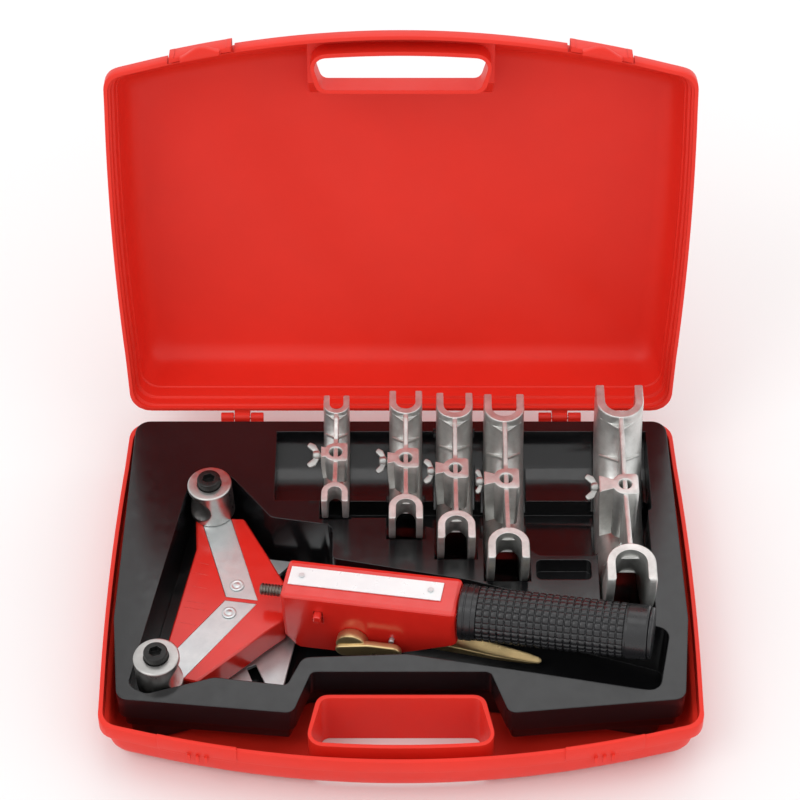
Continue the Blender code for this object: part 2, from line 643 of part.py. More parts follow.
def make_housing(frame):
    profile = [(HOUSING_FRONT, -0.012), (0.048, -0.024), (0.112, -0.024), (HOUSING_REAR, -0.002)]
    profile += [(HOUSING_REAR, HOUSING_TOP), (HOUSING_FRONT, HOUSING_TOP)]
    width = HOUSING_HALF_WIDTH
    housing = plate("housing", profile, -width, width, "XZ", RED_PAINT, frame)
    soften(housing, 0.003, 2)
    seats = []
    for name, start, end, radius, steps in (
        ("rod_bore", 0.03, 0.18, 0.0054, 20),
        ("bush_seat", 0.03, 0.0503, 0.0083, 20),
        ("core_seat", 0.1557, 0.18, 0.0133, 24),
    ):
        profile = [(start, 0), (start, radius), (end, radius), (end, 0)]
        seats.append(turned(name, profile, frame=frame, steps=steps, z=ROD_Z))
    cut(
        housing,
        *seats,
        box("pawl_chamber", (0.064, -0.011, -0.03), (0.150, 0.011, 0.0140), frame=frame),
        box("trigger_slot", (0.149, -0.0085, -0.03), (0.170, 0.0085, -0.0045), frame=frame),
        box("catch_slot", (0.0637, -0.02, 0.006), (0.0703, -0.010, 0.0192), frame=frame),
        cross_rod("trigger_pin_hole", TRIGGER_PIVOT, -0.0145, 0.0145, 0.0024, frame=frame),
        cross_rod("holding_pin_hole", HOLDING_PAWL_PIVOT, -0.0145, 0.0145, 0.0018, frame=frame),
        cross_rod("selector_hole", SELECTOR_PIVOT, -0.03, -0.009, 0.0053, frame=frame),
        cross_rod("stop_pin_hole", (0.119, -0.003), -0.03, -0.0125, 0.0022, frame=frame),
        bore("label_hole_front", 0.0526, 0.002, 0.026, 0.05, 0.0013, frame),
        bore("label_hole_rear", 0.1452, 0.002, 0.0298, 0.05, 0.0013, frame),
        bore("cover_thread_left", 0.058, -0.009, -0.04, -0.012, 0.0016, frame),
        bore("cover_thread_right", 0.058, 0.009, -0.04, -0.012, 0.0016, frame),
    )
    top = -0.024 - GAP
    cover = box("housing_cover", (0.052, -0.0135, top - 0.0024), (0.108, 0.0135, top), ZINC, frame)
    for side, y in (("left", -0.009), ("right", 0.009)):
        cut(cover, bore(f"cover_hole_{side}", 0.058, y, -0.05, 0, 0.0016, frame))
        screw = bore(f"cover_screw_{side}", 0.058, y, top - 0.0030, -0.0130, 0.0013, frame)
        screw.data.materials.append(ZINC)
        low, high = top - 0.0042, top - 0.0024 - GAP
        join(screw, bore(f"cover_screw_head_{side}", 0.058, y, low, high, 0.0027, frame))
    label_low = HOUSING_TOP + GAP
    label_high = label_low + 0.0008
    label = box("label_plate", (0.0440, -0.0060, label_low), (0.1535, 0.0100, label_high), LABEL, frame)
    for name, x, depth in (("front", 0.0526, 0.0270), ("rear", 0.1452, 0.0302)):
        cut(label, bore(f"label_plate_hole_{name}", x, 0.002, 0.02, 0.05, 0.0013, frame))
        rivet = bore(f"label_rivet_{name}", x, 0.002, depth, label_low + 0.0012, 0.0010, frame)
        rivet.data.materials.append(ZINC)
        low, high = label_low + 0.0008 + GAP, label_low + 0.0021
        join(rivet, bore(f"label_rivet_head_{name}", x, 0.002, low, high, 0.0020, frame))
    profile = [(0.0405, 0.0054), (0.0405, 0.0080), (0.0500, 0.0080), (0.0500, 0.0054), (0.0405, 0.0054)]
    turned("rod_bush", profile, ZINC, frame, steps=24, z=ROD_Z)
    stop_pin = cross_rod("selector_stop_pin", (0.119, -0.003), -0.0200, -0.0130, 0.0019, ZINC, frame)
    soften(stop_pin, 0.0005, 1)


def make_ratchet_rod(frame):
    """The push rod: a ridged tip that takes a former, and a row of teeth underneath."""
    profile = [(0.0215, 0), (0.0215, 0.0036)]
    for ridge in range(6):
        x = 0.0225 + 0.0034 * ridge
        profile += [(x, 0.0043), (x + 0.0018, 0.0043), (x + 0.0026, 0.0037)]
    profile += [(0.0445, 0.0043), (0.0452, ROD_RADIUS), (0.196, ROD_RADIUS), (0.196, 0)]
    pivot = axis_frame("rod_axis", (0, 0, ROD_Z), frame)
    made = turned("ratchet_rod", profile, DARK_STEEL, steps=20, z=ROD_Z)
    teeth = []
    low = ROD_Z - ROD_RADIUS
    for tooth in range(28):
        x = 0.078 + TOOTH_PITCH * tooth
        outline = [(x, low - 0.001), (x + 0.0031, low - 0.001), (x + 0.0031, low), (x, low + 0.0016)]
        teeth.append(outline)

    def build(bm):
        for outline in teeth:
            near = [bm.verts.new((x, -0.006, z)) for x, z in outline]
            face = bm.faces.new(near)
            grown = bmesh.ops.extrude_face_region(bm, geom=[face])
            moved = [item for item in grown["geom"] if isinstance(item, bmesh.types.BMVert)]
            bmesh.ops.translate(bm, vec=(0, 0.012, 0), verts=moved)

    notches = new_object("rod_notches", mesh_from("rod_notches", build))
    cut(made, notches)
    on_axis(notches, pivot)
    return on_axis(made, pivot)


def make_trigger(frame):
    """The finger lever: a channel under the grip, with two cheeks that carry the drive pawl."""
    px, pz = TRIGGER_PIVOT
    qx, qz = DRIVE_PAWL_PIVOT
    pivot = axis_frame("trigger_axis", (px, 0, pz), frame)
    lever = [(px - 0.0065, pz - 0.003), (px - 0.003, pz - 0.0065), (0.146, -0.0235), (0.218, -0.0315)]
    lever += [(0.2225, -0.0305), (0.2222, -0.0285), (0.152, -0.0140)]
    lever += [(px + 0.008, pz + 0.003), (px - 0.005, pz + 0.003)]
    trigger = plate("trigger", lever, -0.0072, 0.0072, "XZ", BRASS)
    soften(trigger, 0.0012, 1)
    cheek = [(px - 0.005, pz), (px + 0.006, pz), (qx + 0.0036, qz + 0.001), (qx + 0.001, qz + 0.0036)]
    cheek += [(qx - 0.001, qz + 0.0036), (qx - 0.0036, qz + 0.001)]
    cheeks = [plate("cheek_left", cheek, -0.0066, -0.0036, "XZ")]
    cheeks.append(plate("cheek_right", cheek, 0.0036, 0.0066, "XZ"))
    join(trigger, *cheeks)
    holes = [cross_rod("trigger_bore", (px, pz), -0.02, 0.02, 0.0024)]
    holes.append(cross_rod("pawl_pin_bore", (qx, qz), -0.02, 0.02, 0.0016))
    cut(trigger, *holes)
    for piece in (trigger, *cheeks, *holes):
        on_axis(piece, pivot)
    pin = cross_rod("drive_pawl_pin", (qx, qz), -0.0070, 0.0070, 0.0013, ZINC, sides=16)
    on_axis(pin, pivot)
    cross_rod("trigger_pin", (px, pz), -0.0140, 0.0140, 0.0021, ZINC, frame)
    return pivot


def make_pawls(frame, trigger_pivot):
    qx, qz = DRIVE_PAWL_PIVOT
    drive = [(qx - 0.002, qz - 0.0028), (qx + 0.0030, qz - 0.0020), (qx + 0.0030, qz + 0.0026)]
    drive += [(qx - 0.0070, 0.0103), (qx - 0.0095, 0.0103), (qx - 0.0092, 0.0075)]
    pawl = plate("drive_pawl", drive, -0.0030, 0.0030, "XZ", DARK_STEEL)
    hole = cross_rod("drive_pawl_bore", (qx, qz), -0.01, 0.01, 0.0016, sides=16)
    cut(pawl, hole)
    axis = axis_frame("drive_pawl_axis", Vector((qx, 0, qz)) - trigger_pivot.location, trigger_pivot)
    for piece in (pawl, hole):
        piece.parent = axis
        piece.location = -Vector((qx, 0, qz))
    hx, hz = HOLDING_PAWL_PIVOT
    holding = [(hx - 0.002, hz - 0.0028), (hx + 0.0026, hz - 0.0024), (hx + 0.0030, hz + 0.0026)]
    holding += [(hx - 0.0070, 0.0103), (hx - 0.0098, 0.0103), (hx - 0.0094, 0.0072)]
    pawl = plate("holding_pawl", holding, -0.0030, 0.0030, "XZ", DARK_STEEL)
    hole = cross_rod("holding_pawl_bore", (hx, hz), -0.01, 0.01, 0.0018, sides=16)
    cut(pawl, hole)
    axis = axis_frame("holding_pawl_axis", (hx, 0, hz), frame)
    for piece in (pawl, hole):
        on_axis(piece, axis)
    cross_rod("holding_pawl_pin", (hx, hz), -0.0140, 0.0140, 0.0014, ZINC, frame, sides=16)


def make_selector(frame):
    """The release lever on the housing's side: a round boss, a lever plate and a stub with a cam."""
    x, z = SELECTOR_PIVOT
    pivot = axis_frame("selector_axis", (x, 0, z), frame)
    face = -HOUSING_HALF_WIDTH - GAP
    made = cross_rod("selector_lever", (x, z), face - 0.0075, face, 0.0112, BRASS, sides=36)
    ends = [(x - 0.0105, z - 0.0082, 0.006), (x + 0.0360, z - 0.0072, 0.006)]
    ends.append((x + 0.0360, z + 0.0060, 0.006))
    ends += [(x - 0.0105, z + 0.0050, 0.004)]
    blade = plate("selector_blade", rounded(ends, 4), face - 0.0108, face - 0.0072, "XZ")
    stub = cross_rod("selector_stub", (x, z), face - 0.001, -0.0085, 0.0050)
    cam = cross_rod("selector_cam", (x + 0.001, z), -0.0090, -0.0036, 0.0034)
    join(made, blade, stub, cam)
    for piece in (made, blade, stub, cam):
        on_axis(piece, pivot)


def make_catch(frame):
    pivot = axis_frame("catch_axis", (0.067, -0.014, 0.0155), frame)
    tab = box("catch_tab", (0.0641, -0.0225, 0.0125), (0.0699, -0.0113, 0.0188), RED_PAINT)
    soften(tab, 0.0008, 1)
    on_axis(tab, pivot)


def make_trigger_spring(frame):
    """A short coil between the housing and the finger lever."""
    turns, radius, wire = 4.5, 0.0028, 0.0004
    curve = bpy.data.curves.new("trigger_spring", "CURVE")
    curve.dimensions = "3D"
    curve.bevel_depth = wire
    curve.bevel_resolution = 1
    curve.use_fill_caps = True
    spline = curve.splines.new("POLY")
    count = 34
    spline.points.add(count - 1)
    for i, point in enumerate(spline.points):
        turn = 2 * math.pi * turns * i / (count - 1)
        height = -0.0035 + 0.0125 * i / (count - 1)
        point.co = (0.136 + radius * math.cos(turn), radius * math.sin(turn), height, 1)
    coil = bpy.data.objects.new("trigger_spring", curve)
    PARTS.objects.link(coil)
    coil.parent = frame
    curve.materials.append(ZINC)


def make_grip(frame):
    end = GRIP_END
    core = [(0.1560, 0.0065), (0.1560, 0.0130), (0.294, 0.0130), (0.294, 0.0065), (0.1560, 0.0065)]
    turned("grip_core", core, ZINC, frame, steps=24, z=ROD_Z)
    start = HOUSING_REAR + GAP
    sleeve = [(start, 0.0133), (start, 0.0190), (start + 0.001, 0.0200), (0.1760, 0.0200), (0.1770, 0.0190)]
    for ring in range(10):
        x = 0.1780 + 0.0104 * ring
        sleeve += [(x, GRIP_RADIUS), (x + 0.0088, GRIP_RADIUS), (x + 0.0096, 0.0184)]
    sleeve += [(0.2830, 0.0192), (end - 0.001, 0.0192), (end, 0.0184), (end, 0.0133), (start, 0.0133)]
    turned("grip_sleeve", sleeve, BLACK_GRIP, frame, steps=28, z=ROD_Z)
    cap = [(0.2840, 0), (0.2840, 0.0061), (end + GAP, 0.0061), (end + GAP, 0.0180), (end + 0.0022, 0.0180)]
    cap += [(end + 0.0034, 0.0150), (end + 0.0034, 0)]
    turned("grip_cap", cap, BLACK_GRIP, frame, steps=28, z=ROD_Z)


# ---- the formers ----------------------------------------------------------------------------------
def channel_section(diameter, radius):
    """The former's section as (across, distance from the arc's centre): a U that opens outwards."""
    inside = diameter * 0.53
    half = former_width(diameter) / 2
    floor = radius - half * 1.9
    bend = floor + half
    lip = [(half, radius), (half, bend)]
    back = [(half * math.cos(a), bend - half * math.sin(a)) for a in [math.pi * i / 6 for i in range(1, 6)]]
    angles = [math.pi * i / 6 for i in range(1, 6)]
    groove = [(-inside * math.cos(a), bend - inside * math.sin(a)) for a in angles]
    return lip + back + [(-half, bend), (-half, radius), (-inside, radius), (-inside, bend)] + groove + [
        (inside, bend), (inside, radius)
    ]


def make_former(name, diameter, x, y, z, radius):
    """A half-circle saddle for one tube size: channel, web, gussets and a bored boss."""
    half = former_width(diameter) / 2
    floor = radius - half * 1.9
    section = channel_section(diameter, radius)

    def build(bm):
        ring = [bm.verts.new((u, r, 0)) for u, r in section]
        face = bm.faces.new(ring)
        bmesh.ops.spin(
            bm, geom=[face], cent=(0, 0, 0), axis=(1, 0, 0), angle=-math.pi, steps=ARC_STEPS,
            use_duplicate=False,
        )
        bmesh.ops.remove_doubles(bm, verts=bm.verts, dist=0.0000001)

    former = new_object(name, mesh_from(name, build), ALUMINIUM)
    former.location = (x, y, z)
    deep = floor + 0.0008
    boss_top = -0.005
    web_angles = [math.pi * i / 12 for i in range(13)]
    web_outline = [(-deep * math.cos(a), -deep * math.sin(a)) for a in web_angles]
    web_outline[0] = (-deep, -0.0006)
    web_outline[-1] = (deep, -0.0006)
    web_outline += [(floor - 0.006, -0.0006), (0.0, -0.0075), (-floor + 0.006, -0.0006)]
    web = plate(f"{name}_web", web_outline, -0.0018, 0.0018, "YZ")
    boss_half = min(0.0095, half - 0.0010)
    boss = box(f"{name}_boss", (-boss_half, -boss_half, -deep), (boss_half, boss_half, boss_top))
    ear = box(f"{name}_ear", (-half - 0.0015, -0.0042, boss_top - 0.0085), (0, 0.0042, boss_top - 0.0003))
    pieces = [web, boss, ear]
    for i, angle in enumerate((40, 65, 115, 140)):
        a = math.radians(angle)
        inward = Vector((0, -math.cos(a), math.sin(a)))
        foot = Vector((0, math.cos(a), -math.sin(a))) * (floor + half * 0.55)
        lift = half * 0.55 + 0.0060
        gusset = [(-half + 0.0012, 0.0), (half - 0.0012, 0.0), (0.0016, lift), (-0.0016, lift)]
        made = plate(f"{name}_gusset_{i}", gusset, -0.0009, 0.0009, "XZ")
        made.rotation_euler = (math.atan2(inward.z, inward.y) - math.pi / 2, 0, 0)
        made.location = foot
        pieces.append(made)
    holes = [rod(f"{name}_bore", (0, 0, -deep + 0.010), (0, 0, 0.02), 0.0046, sides=20)]
    screw_z = boss_top - 0.0042
    holes.append(rod(f"{name}_thread", (-half - 0.02, 0, screw_z), (0, 0, screw_z), 0.0020, sides=16))
    join(former, *pieces)
    groove = arc_groove(name, diameter, radius, half)
    cut(former, groove, *holes)
    for piece in (*pieces, groove, *holes):
        piece.parent = former
    return screw_z


def arc_groove(name, diameter, radius, half):
    """The tube's groove as a solid, run past both ends, which clears it of webs and gussets."""
    inside = diameter * 0.53 - 0.00005
    bend = radius - half * 1.9 + half
    arc = [(inside * math.cos(a), bend - inside * math.sin(a)) for a in [math.pi * i / 6 for i in range(7)]]
    section = [(inside, radius + 0.01)] + arc + [(-inside, radius + 0.01)]

    def build(bm):
        ring = [bm.verts.new((u, r, 0)) for u, r in section]
        face = bm.faces.new(ring)
        bmesh.ops.spin(
            bm, geom=[face], cent=(0, 0, 0), axis=(1, 0, 0), angle=-math.pi, steps=ARC_STEPS,
            use_duplicate=False,
        )
        bmesh.ops.remove_doubles(bm, verts=bm.verts, dist=0.0000001)

    return new_object(f"{name}_groove", mesh_from(f"{name}_groove", build))


def make_wing_screw(name, x, y, z, half):
    """A wing screw, threaded into the boss from the former's left side."""
    frame = axis_frame(f"{name}_axis", (x, y, z))
    hub = -half - 0.0015 - GAP
    profile = [(hub - 0.0052, 0), (hub - 0.0052, 0.0024), (hub - 0.0042, 0.0034), (hub - 0.0012, 0.0036)]
    profile.append((hub, 0.0026))
    profile += [(hub, 0.0018), (-0.0055, 0.0018), (-0.0055, 0)]
    screw = turned(name, profile, ZINC, frame, steps=18)
    reach = WING_REACHES.get(name, WING_REACH)
    wing = [(0.31, 0.0020), (0.50, 0.0028), (1.00, 0.0082), (0.80, 0.0108), (0.31, 0.0084), (0.06, 0.0031)]
    wing = [(hub - reach * share, height) for share, height in wing]
    upper = plate(f"{name}_wing_a", wing, -0.0011, 0.0011, frame=frame)
    lower = plate(f"{name}_wing_b", [(u, -v) for u, v in reversed(wing)], -0.0011, 0.0011, frame=frame)
    join(screw, upper, lower)


# ---- putting it together --------------------------------------------------------------------------
def make_case():
    hinge = axis_frame("lid_hinge", (0, HINGE_Y, RIM_HEIGHT))
    make_case_base()
    make_tray()
    make_hinge_pins()
    make_lid(hinge)
    for side, s in (("left", -1), ("right", 1)):
        make_latch(side, s, hinge)
    hinge.rotation_euler = (-LID_OPEN, 0, 0)
    for helper_piece in HELPERS.objects:
        if helper_piece.name.startswith("lid_"):
            on_axis(helper_piece, hinge)


def make_bender():
    frame = axis_frame("bender_frame", BENDER_ORIGIN)
    frame.rotation_euler = (0, BENDER_PITCH, BENDER_YAW)
    make_head(frame)
    make_shoe("back", 1, math.radians(222), frame)
    make_shoe("front", -1, math.radians(12), frame)
    make_housing(frame)
    make_ratchet_rod(frame)
    make_pawls(frame, make_trigger(frame))
    make_selector(frame)
    make_catch(frame)
    make_trigger_spring(frame)
    make_grip(frame)


def make_formers():
    for name, (diameter, x, y, z, radius) in FORMERS.items():
        screw_z = make_former(name, diameter, x, y, z, radius)
        make_wing_screw(name.replace("former", "wing_screw"), x, y, z + screw_z, former_width(diameter) / 2)


make_case()
make_bender()
make_formers()
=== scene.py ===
"""A ratchet tube bender and five formers in the moulded tray of an open red case."""

import json
import math

import bmesh
import bpy
import numpy as np
from mathutils import Matrix


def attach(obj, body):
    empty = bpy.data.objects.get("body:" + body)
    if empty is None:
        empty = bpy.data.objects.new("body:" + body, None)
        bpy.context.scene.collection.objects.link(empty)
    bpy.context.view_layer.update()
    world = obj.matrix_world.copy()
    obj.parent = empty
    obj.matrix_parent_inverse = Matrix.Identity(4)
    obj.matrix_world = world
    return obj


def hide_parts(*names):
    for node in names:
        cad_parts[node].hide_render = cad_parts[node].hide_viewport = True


bl_info = {
    "name": "Tube bender set",
    "version": (1, 0, 0),
    "blender": (4, 5, 0),
    "location": "View3D > Sidebar > Bender",
    "description": "Builds the case, the tray, the bender and its formers over the packed parts",
    "category": "Object",
}

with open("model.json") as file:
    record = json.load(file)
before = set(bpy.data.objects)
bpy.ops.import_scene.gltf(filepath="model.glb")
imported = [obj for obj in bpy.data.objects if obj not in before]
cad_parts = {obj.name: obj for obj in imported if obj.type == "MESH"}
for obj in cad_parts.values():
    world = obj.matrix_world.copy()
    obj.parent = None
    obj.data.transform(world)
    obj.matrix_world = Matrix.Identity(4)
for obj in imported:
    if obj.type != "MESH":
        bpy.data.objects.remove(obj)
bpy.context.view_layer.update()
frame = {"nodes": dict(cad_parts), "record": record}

RIM = 0.047
HINGE = (0.0, 0.1613, RIM)
LID_OPEN = math.radians(104.0)
BENDER_TO_CASE = (
    Matrix.Translation((-0.1204, -0.0108, 0.042))
    @ Matrix.Rotation(math.radians(-10.6), 4, "Z")
    @ Matrix.Rotation(math.radians(-3.0), 4, "Y")
)
OPEN_LID = (
    Matrix.Translation(HINGE)
    @ Matrix.Rotation(-LID_OPEN, 4, "X")
    @ Matrix.Translation([-c for c in HINGE])
)
SIDE_BOW = 0.22
FORMER_WALLS = 0.0062
# tube diameter, place across the case, centre of the arc (y, z), outer radius of the arc
FORMERS = {
    "10": (0.010, -0.0478, 0.0945, 0.088, 0.0517),
    "14": (0.014, 0.0035, 0.0853, 0.092, 0.0620),
    "16": (0.016, 0.0396, 0.0771, 0.090, 0.0700),
    "18": (0.018, 0.0762, 0.0655, 0.092, 0.0785),
    "22": (0.022, 0.1610, 0.0510, 0.1025, 0.0925),
}


def half_width(diameter):
    """Half of a former's width: 1.3 times its tube, and two walls."""
    return (diameter * 1.3 + FORMER_WALLS) / 2


# ---- outlines and surfaces
def soft_corners(corners, steps=6):
    """Corners (x, y, radius) joined by arcs, each centred radius / sin(half angle) up the bisector."""
    points = []
    places = np.array([corner[:2] for corner in corners], float)
    for i, (x, y, radius) in enumerate(corners):
        here = places[i]
        back = places[i - 1] - here
        on = places[(i + 1) % len(places)] - here
        back, on = back / np.linalg.norm(back), on / np.linalg.norm(on)
        if radius == 0:
            points.append(here[None])
            continue
        half = math.acos(np.clip(back @ on, -1, 1)) / 2
        way = (back + on) / np.linalg.norm(back + on)
        centre = here + way * radius / math.sin(half)
        start = here + back * radius / math.tan(half) - centre
        end = here + on * radius / math.tan(half) - centre
        turn = math.atan2(start[0] * end[1] - start[1] * end[0], start @ end)
        angle = math.atan2(start[1], start[0]) + turn * np.linspace(0, 1, steps)
        points.append(centre + radius * np.c_[np.cos(angle), np.sin(angle)])
    return np.concatenate(points)


def even(points, count):
    """The closed outline sampled at equal steps of its length."""
    loop = np.vstack([points, points[:1]])
    along = np.r_[0, np.cumsum(np.linalg.norm(np.diff(loop, axis=0), axis=1))]
    at = np.linspace(0, along[-1], count, endpoint=False)
    return np.c_[np.interp(at, along, loop[:, 0]), np.interp(at, along, loop[:, 1])]


def grown(points, amount):
    """The outline moved out by amount along its normals, which are the mean of each point's two sides."""
    side = np.roll(points, -1, 0) - points
    side = side / np.maximum(np.linalg.norm(side, axis=1, keepdims=True), 1e-12)
    normal = np.c_[side[:, 1], -side[:, 0]]
    both = normal + np.roll(normal, 1, 0)
    return points + amount * 2 * both / np.maximum((both**2).sum(1, keepdims=True), 0.5)


def skin(rows, capped=True, looped=True):
    """A surface over rows of points: four-sided faces between each row and the next, and flat end faces."""
    rows = np.asarray(rows, float)
    index = np.arange(rows.shape[0] * rows.shape[1]).reshape(rows.shape[:2])
    left = index if looped else index[:, :-1]
    right = np.roll(index, -1, 1) if looped else index[:, 1:]
    quads = np.stack([left[:-1], right[:-1], right[1:], left[1:]], -1).reshape(-1, 4)
    caps = [index[0][::-1].tolist(), index[-1].tolist()] if capped else []
    return rows.reshape(-1, 3), quads.tolist() + caps


def slab(outline, low, high, edge=0.0006, steps=4, plane="XY"):
    """An outline given a thickness, with each edge a quarter circle of radius edge."""
    turn = np.linspace(0, math.pi / 2, steps)
    inset, lift = edge * (1 - np.sin(turn)), edge * (1 - np.cos(turn))
    heights = np.r_[low + lift, high - lift[::-1]]
    levels = zip(np.r_[inset, inset[::-1]], heights)
    rows = [np.c_[grown(outline, -i), np.full(len(outline), z)] for i, z in levels]
    points, faces = skin(rows)
    order = {"XY": (0, 1, 2), "XZ": (0, 2, 1), "YZ": (2, 0, 1)}[plane]
    return points[:, order], faces


def turned(profile, steps=64, y=0.0, z=0.0, axis="X"):
    """A profile of (place along the axis, radius) carried round the axis."""
    profile = np.array(profile, float)
    angle = np.linspace(0, 2 * math.pi, steps, endpoint=False)
    along = np.repeat(profile[:, :1], steps, 1)
    rows = np.stack([along, profile[:, 1:] * np.cos(angle), profile[:, 1:] * np.sin(angle)], -1)
    points, faces = skin(rows)
    order = {"X": (0, 1, 2), "Y": (1, 0, 2), "Z": (1, 2, 0)}[axis]
    return points[:, order] + np.array([0, y, z]), faces


def soft_profile(profile, radius, steps=4):
    """A profile whose inner corners are rounded, cut to a third of their shorter side."""
    profile = np.array(profile, float)
    points = [profile[:1]]
    for before, here, after in zip(profile, profile[1:], profile[2:]):
        back, on = before - here, after - here
        reach = min(radius, np.linalg.norm(back) / 2.2, np.linalg.norm(on) / 2.2)
        start, end = here + back / np.linalg.norm(back) * reach, here + on / np.linalg.norm(on) * reach
        t = np.linspace(0, 1, steps)[:, None]
        points.append((1 - t) ** 2 * start + 2 * t * (1 - t) * here + t**2 * end)
    return np.concatenate(points + [profile[-1:]])


def moved(shape, matrix):
    points, faces = shape
    matrix = np.array(matrix)
    return points @ matrix[:3, :3].T + matrix[:3, 3], faces


def sharp_at(mesh, degrees=38):
    mesh.shade_smooth()
    mesh.set_sharp_from_angle(angle=math.radians(degrees))


def piece(name, shapes, material, body, matrix=None, replaces=()):
    """One mesh of several closed shapes, at rest in the case's frame, riding on a body."""
    start, places, faces = 0, [], []
    for points, sides in shapes:
        places.append(points)
        faces += [[corner + start for corner in side] for side in sides]
        start += len(points)
    mesh = bpy.data.meshes.new(name)
    points = np.concatenate(places)
    if matrix is not None:
        points, _ = moved((points, None), matrix)
    mesh.from_pydata(points.tolist(), [], faces)
    bm = bmesh.new()
    bm.from_mesh(mesh)
    bmesh.ops.recalc_face_normals(bm, faces=bm.faces)
    bm.to_mesh(mesh)
    bm.free()
    sharp_at(mesh)
    made = bpy.data.objects.new(name, mesh)
    bpy.context.scene.collection.objects.link(made)
    mesh.materials.append(material)
    if body:
        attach(made, body)
    if replaces:
        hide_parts(*replaces)
    return made


def fitted(name, shapes, finish, body, matrix=None, replaces=()):
    """A piece whose material slot has its finish's name."""
    return piece(name, shapes, FINISHES[finish], body, matrix, replaces)


def carve(target, shapes, operation="DIFFERENCE"):
    """Cuts closed shapes from the target, or joins them on, and keeps the result in its mesh."""
    for shape in shapes:
        tool = piece("tool", [shape], target.data.materials[0], None)
        step = target.modifiers.new("carve", "BOOLEAN")
        step.operation, step.object, step.solver = operation, tool, "EXACT"
        graph = bpy.context.evaluated_depsgraph_get()
        result = bpy.data.meshes.new_from_object(target.evaluated_get(graph))
        target.modifiers.clear()
        old, target.data = target.data, result
        bpy.data.meshes.remove(old)
        bpy.data.objects.remove(tool)
    sharp_at(target.data)
    return target


def round_edges(target, width, segments=2, angle=40):
    step = target.modifiers.new("rounded edges", "BEVEL")
    step.width, step.segments = width, segments
    step.limit_method, step.angle_limit = "ANGLE", math.radians(angle)
    step.harden_normals = True
    step.miter_outer = "MITER_ARC"
    return target


# ---- finishes
def node(tree, kind, inputs=(), **settings):
    """A node with its settings and inputs: an input is a value, or another node's output."""
    made = tree.nodes.new(kind)
    for key, value in settings.items():
        setattr(made, key, value)
    for key, value in dict(inputs).items():
        if isinstance(value, bpy.types.NodeSocket):
            tree.links.new(value, made.inputs[key])
        else:
            made.inputs[key].default_value = value
    return made


def new_group(name, takes, gives):
    """A shader node group with named sockets: takes and gives are (name, socket type, default)."""
    tree = bpy.data.node_groups.new(name, "ShaderNodeTree")
    for way, sockets in (("INPUT", takes), ("OUTPUT", gives)):
        for label, kind, default in sockets:
            socket = tree.interface.new_socket(label, in_out=way, socket_type=kind)
            if default is not None:
                socket.default_value = default
    return tree, tree.nodes.new("NodeGroupInput"), tree.nodes.new("NodeGroupOutput")


def make_patches_group():
    """Soft clouds from low to high: how a finish varies over a hand's width, with finer flecks in it."""
    takes = [("Scale", "NodeSocketFloat", 20.0), ("Low", "NodeSocketFloat", 0.0)]
    takes += [("High", "NodeSocketFloat", 1.0)]
    tree, given, out = new_group("patches", takes, [("Value", "NodeSocketFloat", None)])
    place = node(tree, "ShaderNodeTexCoord")
    clouds = node(
        tree,
        "ShaderNodeTexNoise",
        {
            "Vector": place.outputs["Object"],
            "Scale": given.outputs["Scale"],
            "Detail": 6.0,
            "Roughness": 0.62,
        },
    )
    spread = node(
        tree,
        "ShaderNodeMapRange",
        {
            "Value": clouds.outputs["Fac"],
            "From Min": 0.32,
            "From Max": 0.68,
            "To Min": given.outputs["Low"],
            "To Max": given.outputs["High"],
        },
    )
    tree.links.new(spread.outputs["Result"], out.inputs["Value"])
    return tree


def make_edges_group():
    """Rounded normals near an edge, and a mask of how far they turn, broken up by a noise, times Wear."""
    takes = [("Reach", "NodeSocketFloat", 0.0006), ("Wear", "NodeSocketFloat", 1.0)]
    gives = [("Mask", "NodeSocketFloat", None), ("Normal", "NodeSocketVector", None)]
    tree, given, out = new_group("worn edges", takes, gives)
    soft = node(tree, "ShaderNodeBevel", {"Radius": given.outputs["Reach"]}, samples=6)
    shape = node(tree, "ShaderNodeNewGeometry")
    turn = node(
        tree,
        "ShaderNodeVectorMath",
        {0: soft.outputs["Normal"], 1: shape.outputs["Normal"]},
        operation="DOT_PRODUCT",
    )
    place = node(tree, "ShaderNodeTexCoord")
    chips = node(
        tree, "ShaderNodeTexNoise", {"Vector": place.outputs["Object"], "Scale": 420.0, "Detail": 4.0}
    )
    bent = node(
        tree, "ShaderNodeMapRange", {"Value": turn.outputs["Value"], "From Min": 0.98, "From Max": 0.80}
    )
    broken = node(
        tree, "ShaderNodeMapRange", {"Value": chips.outputs["Fac"], "From Min": 0.42, "From Max": 0.60}
    )
    both = node(
        tree, "ShaderNodeMath", {0: bent.outputs["Result"], 1: broken.outputs["Result"]}, operation="MULTIPLY"
    )
    worn = node(
        tree, "ShaderNodeMath", {0: both.outputs["Value"], 1: given.outputs["Wear"]}, operation="MULTIPLY"
    )
    tree.links.new(worn.outputs["Value"], out.inputs["Mask"])
    tree.links.new(soft.outputs["Normal"], out.inputs["Normal"])
    return tree


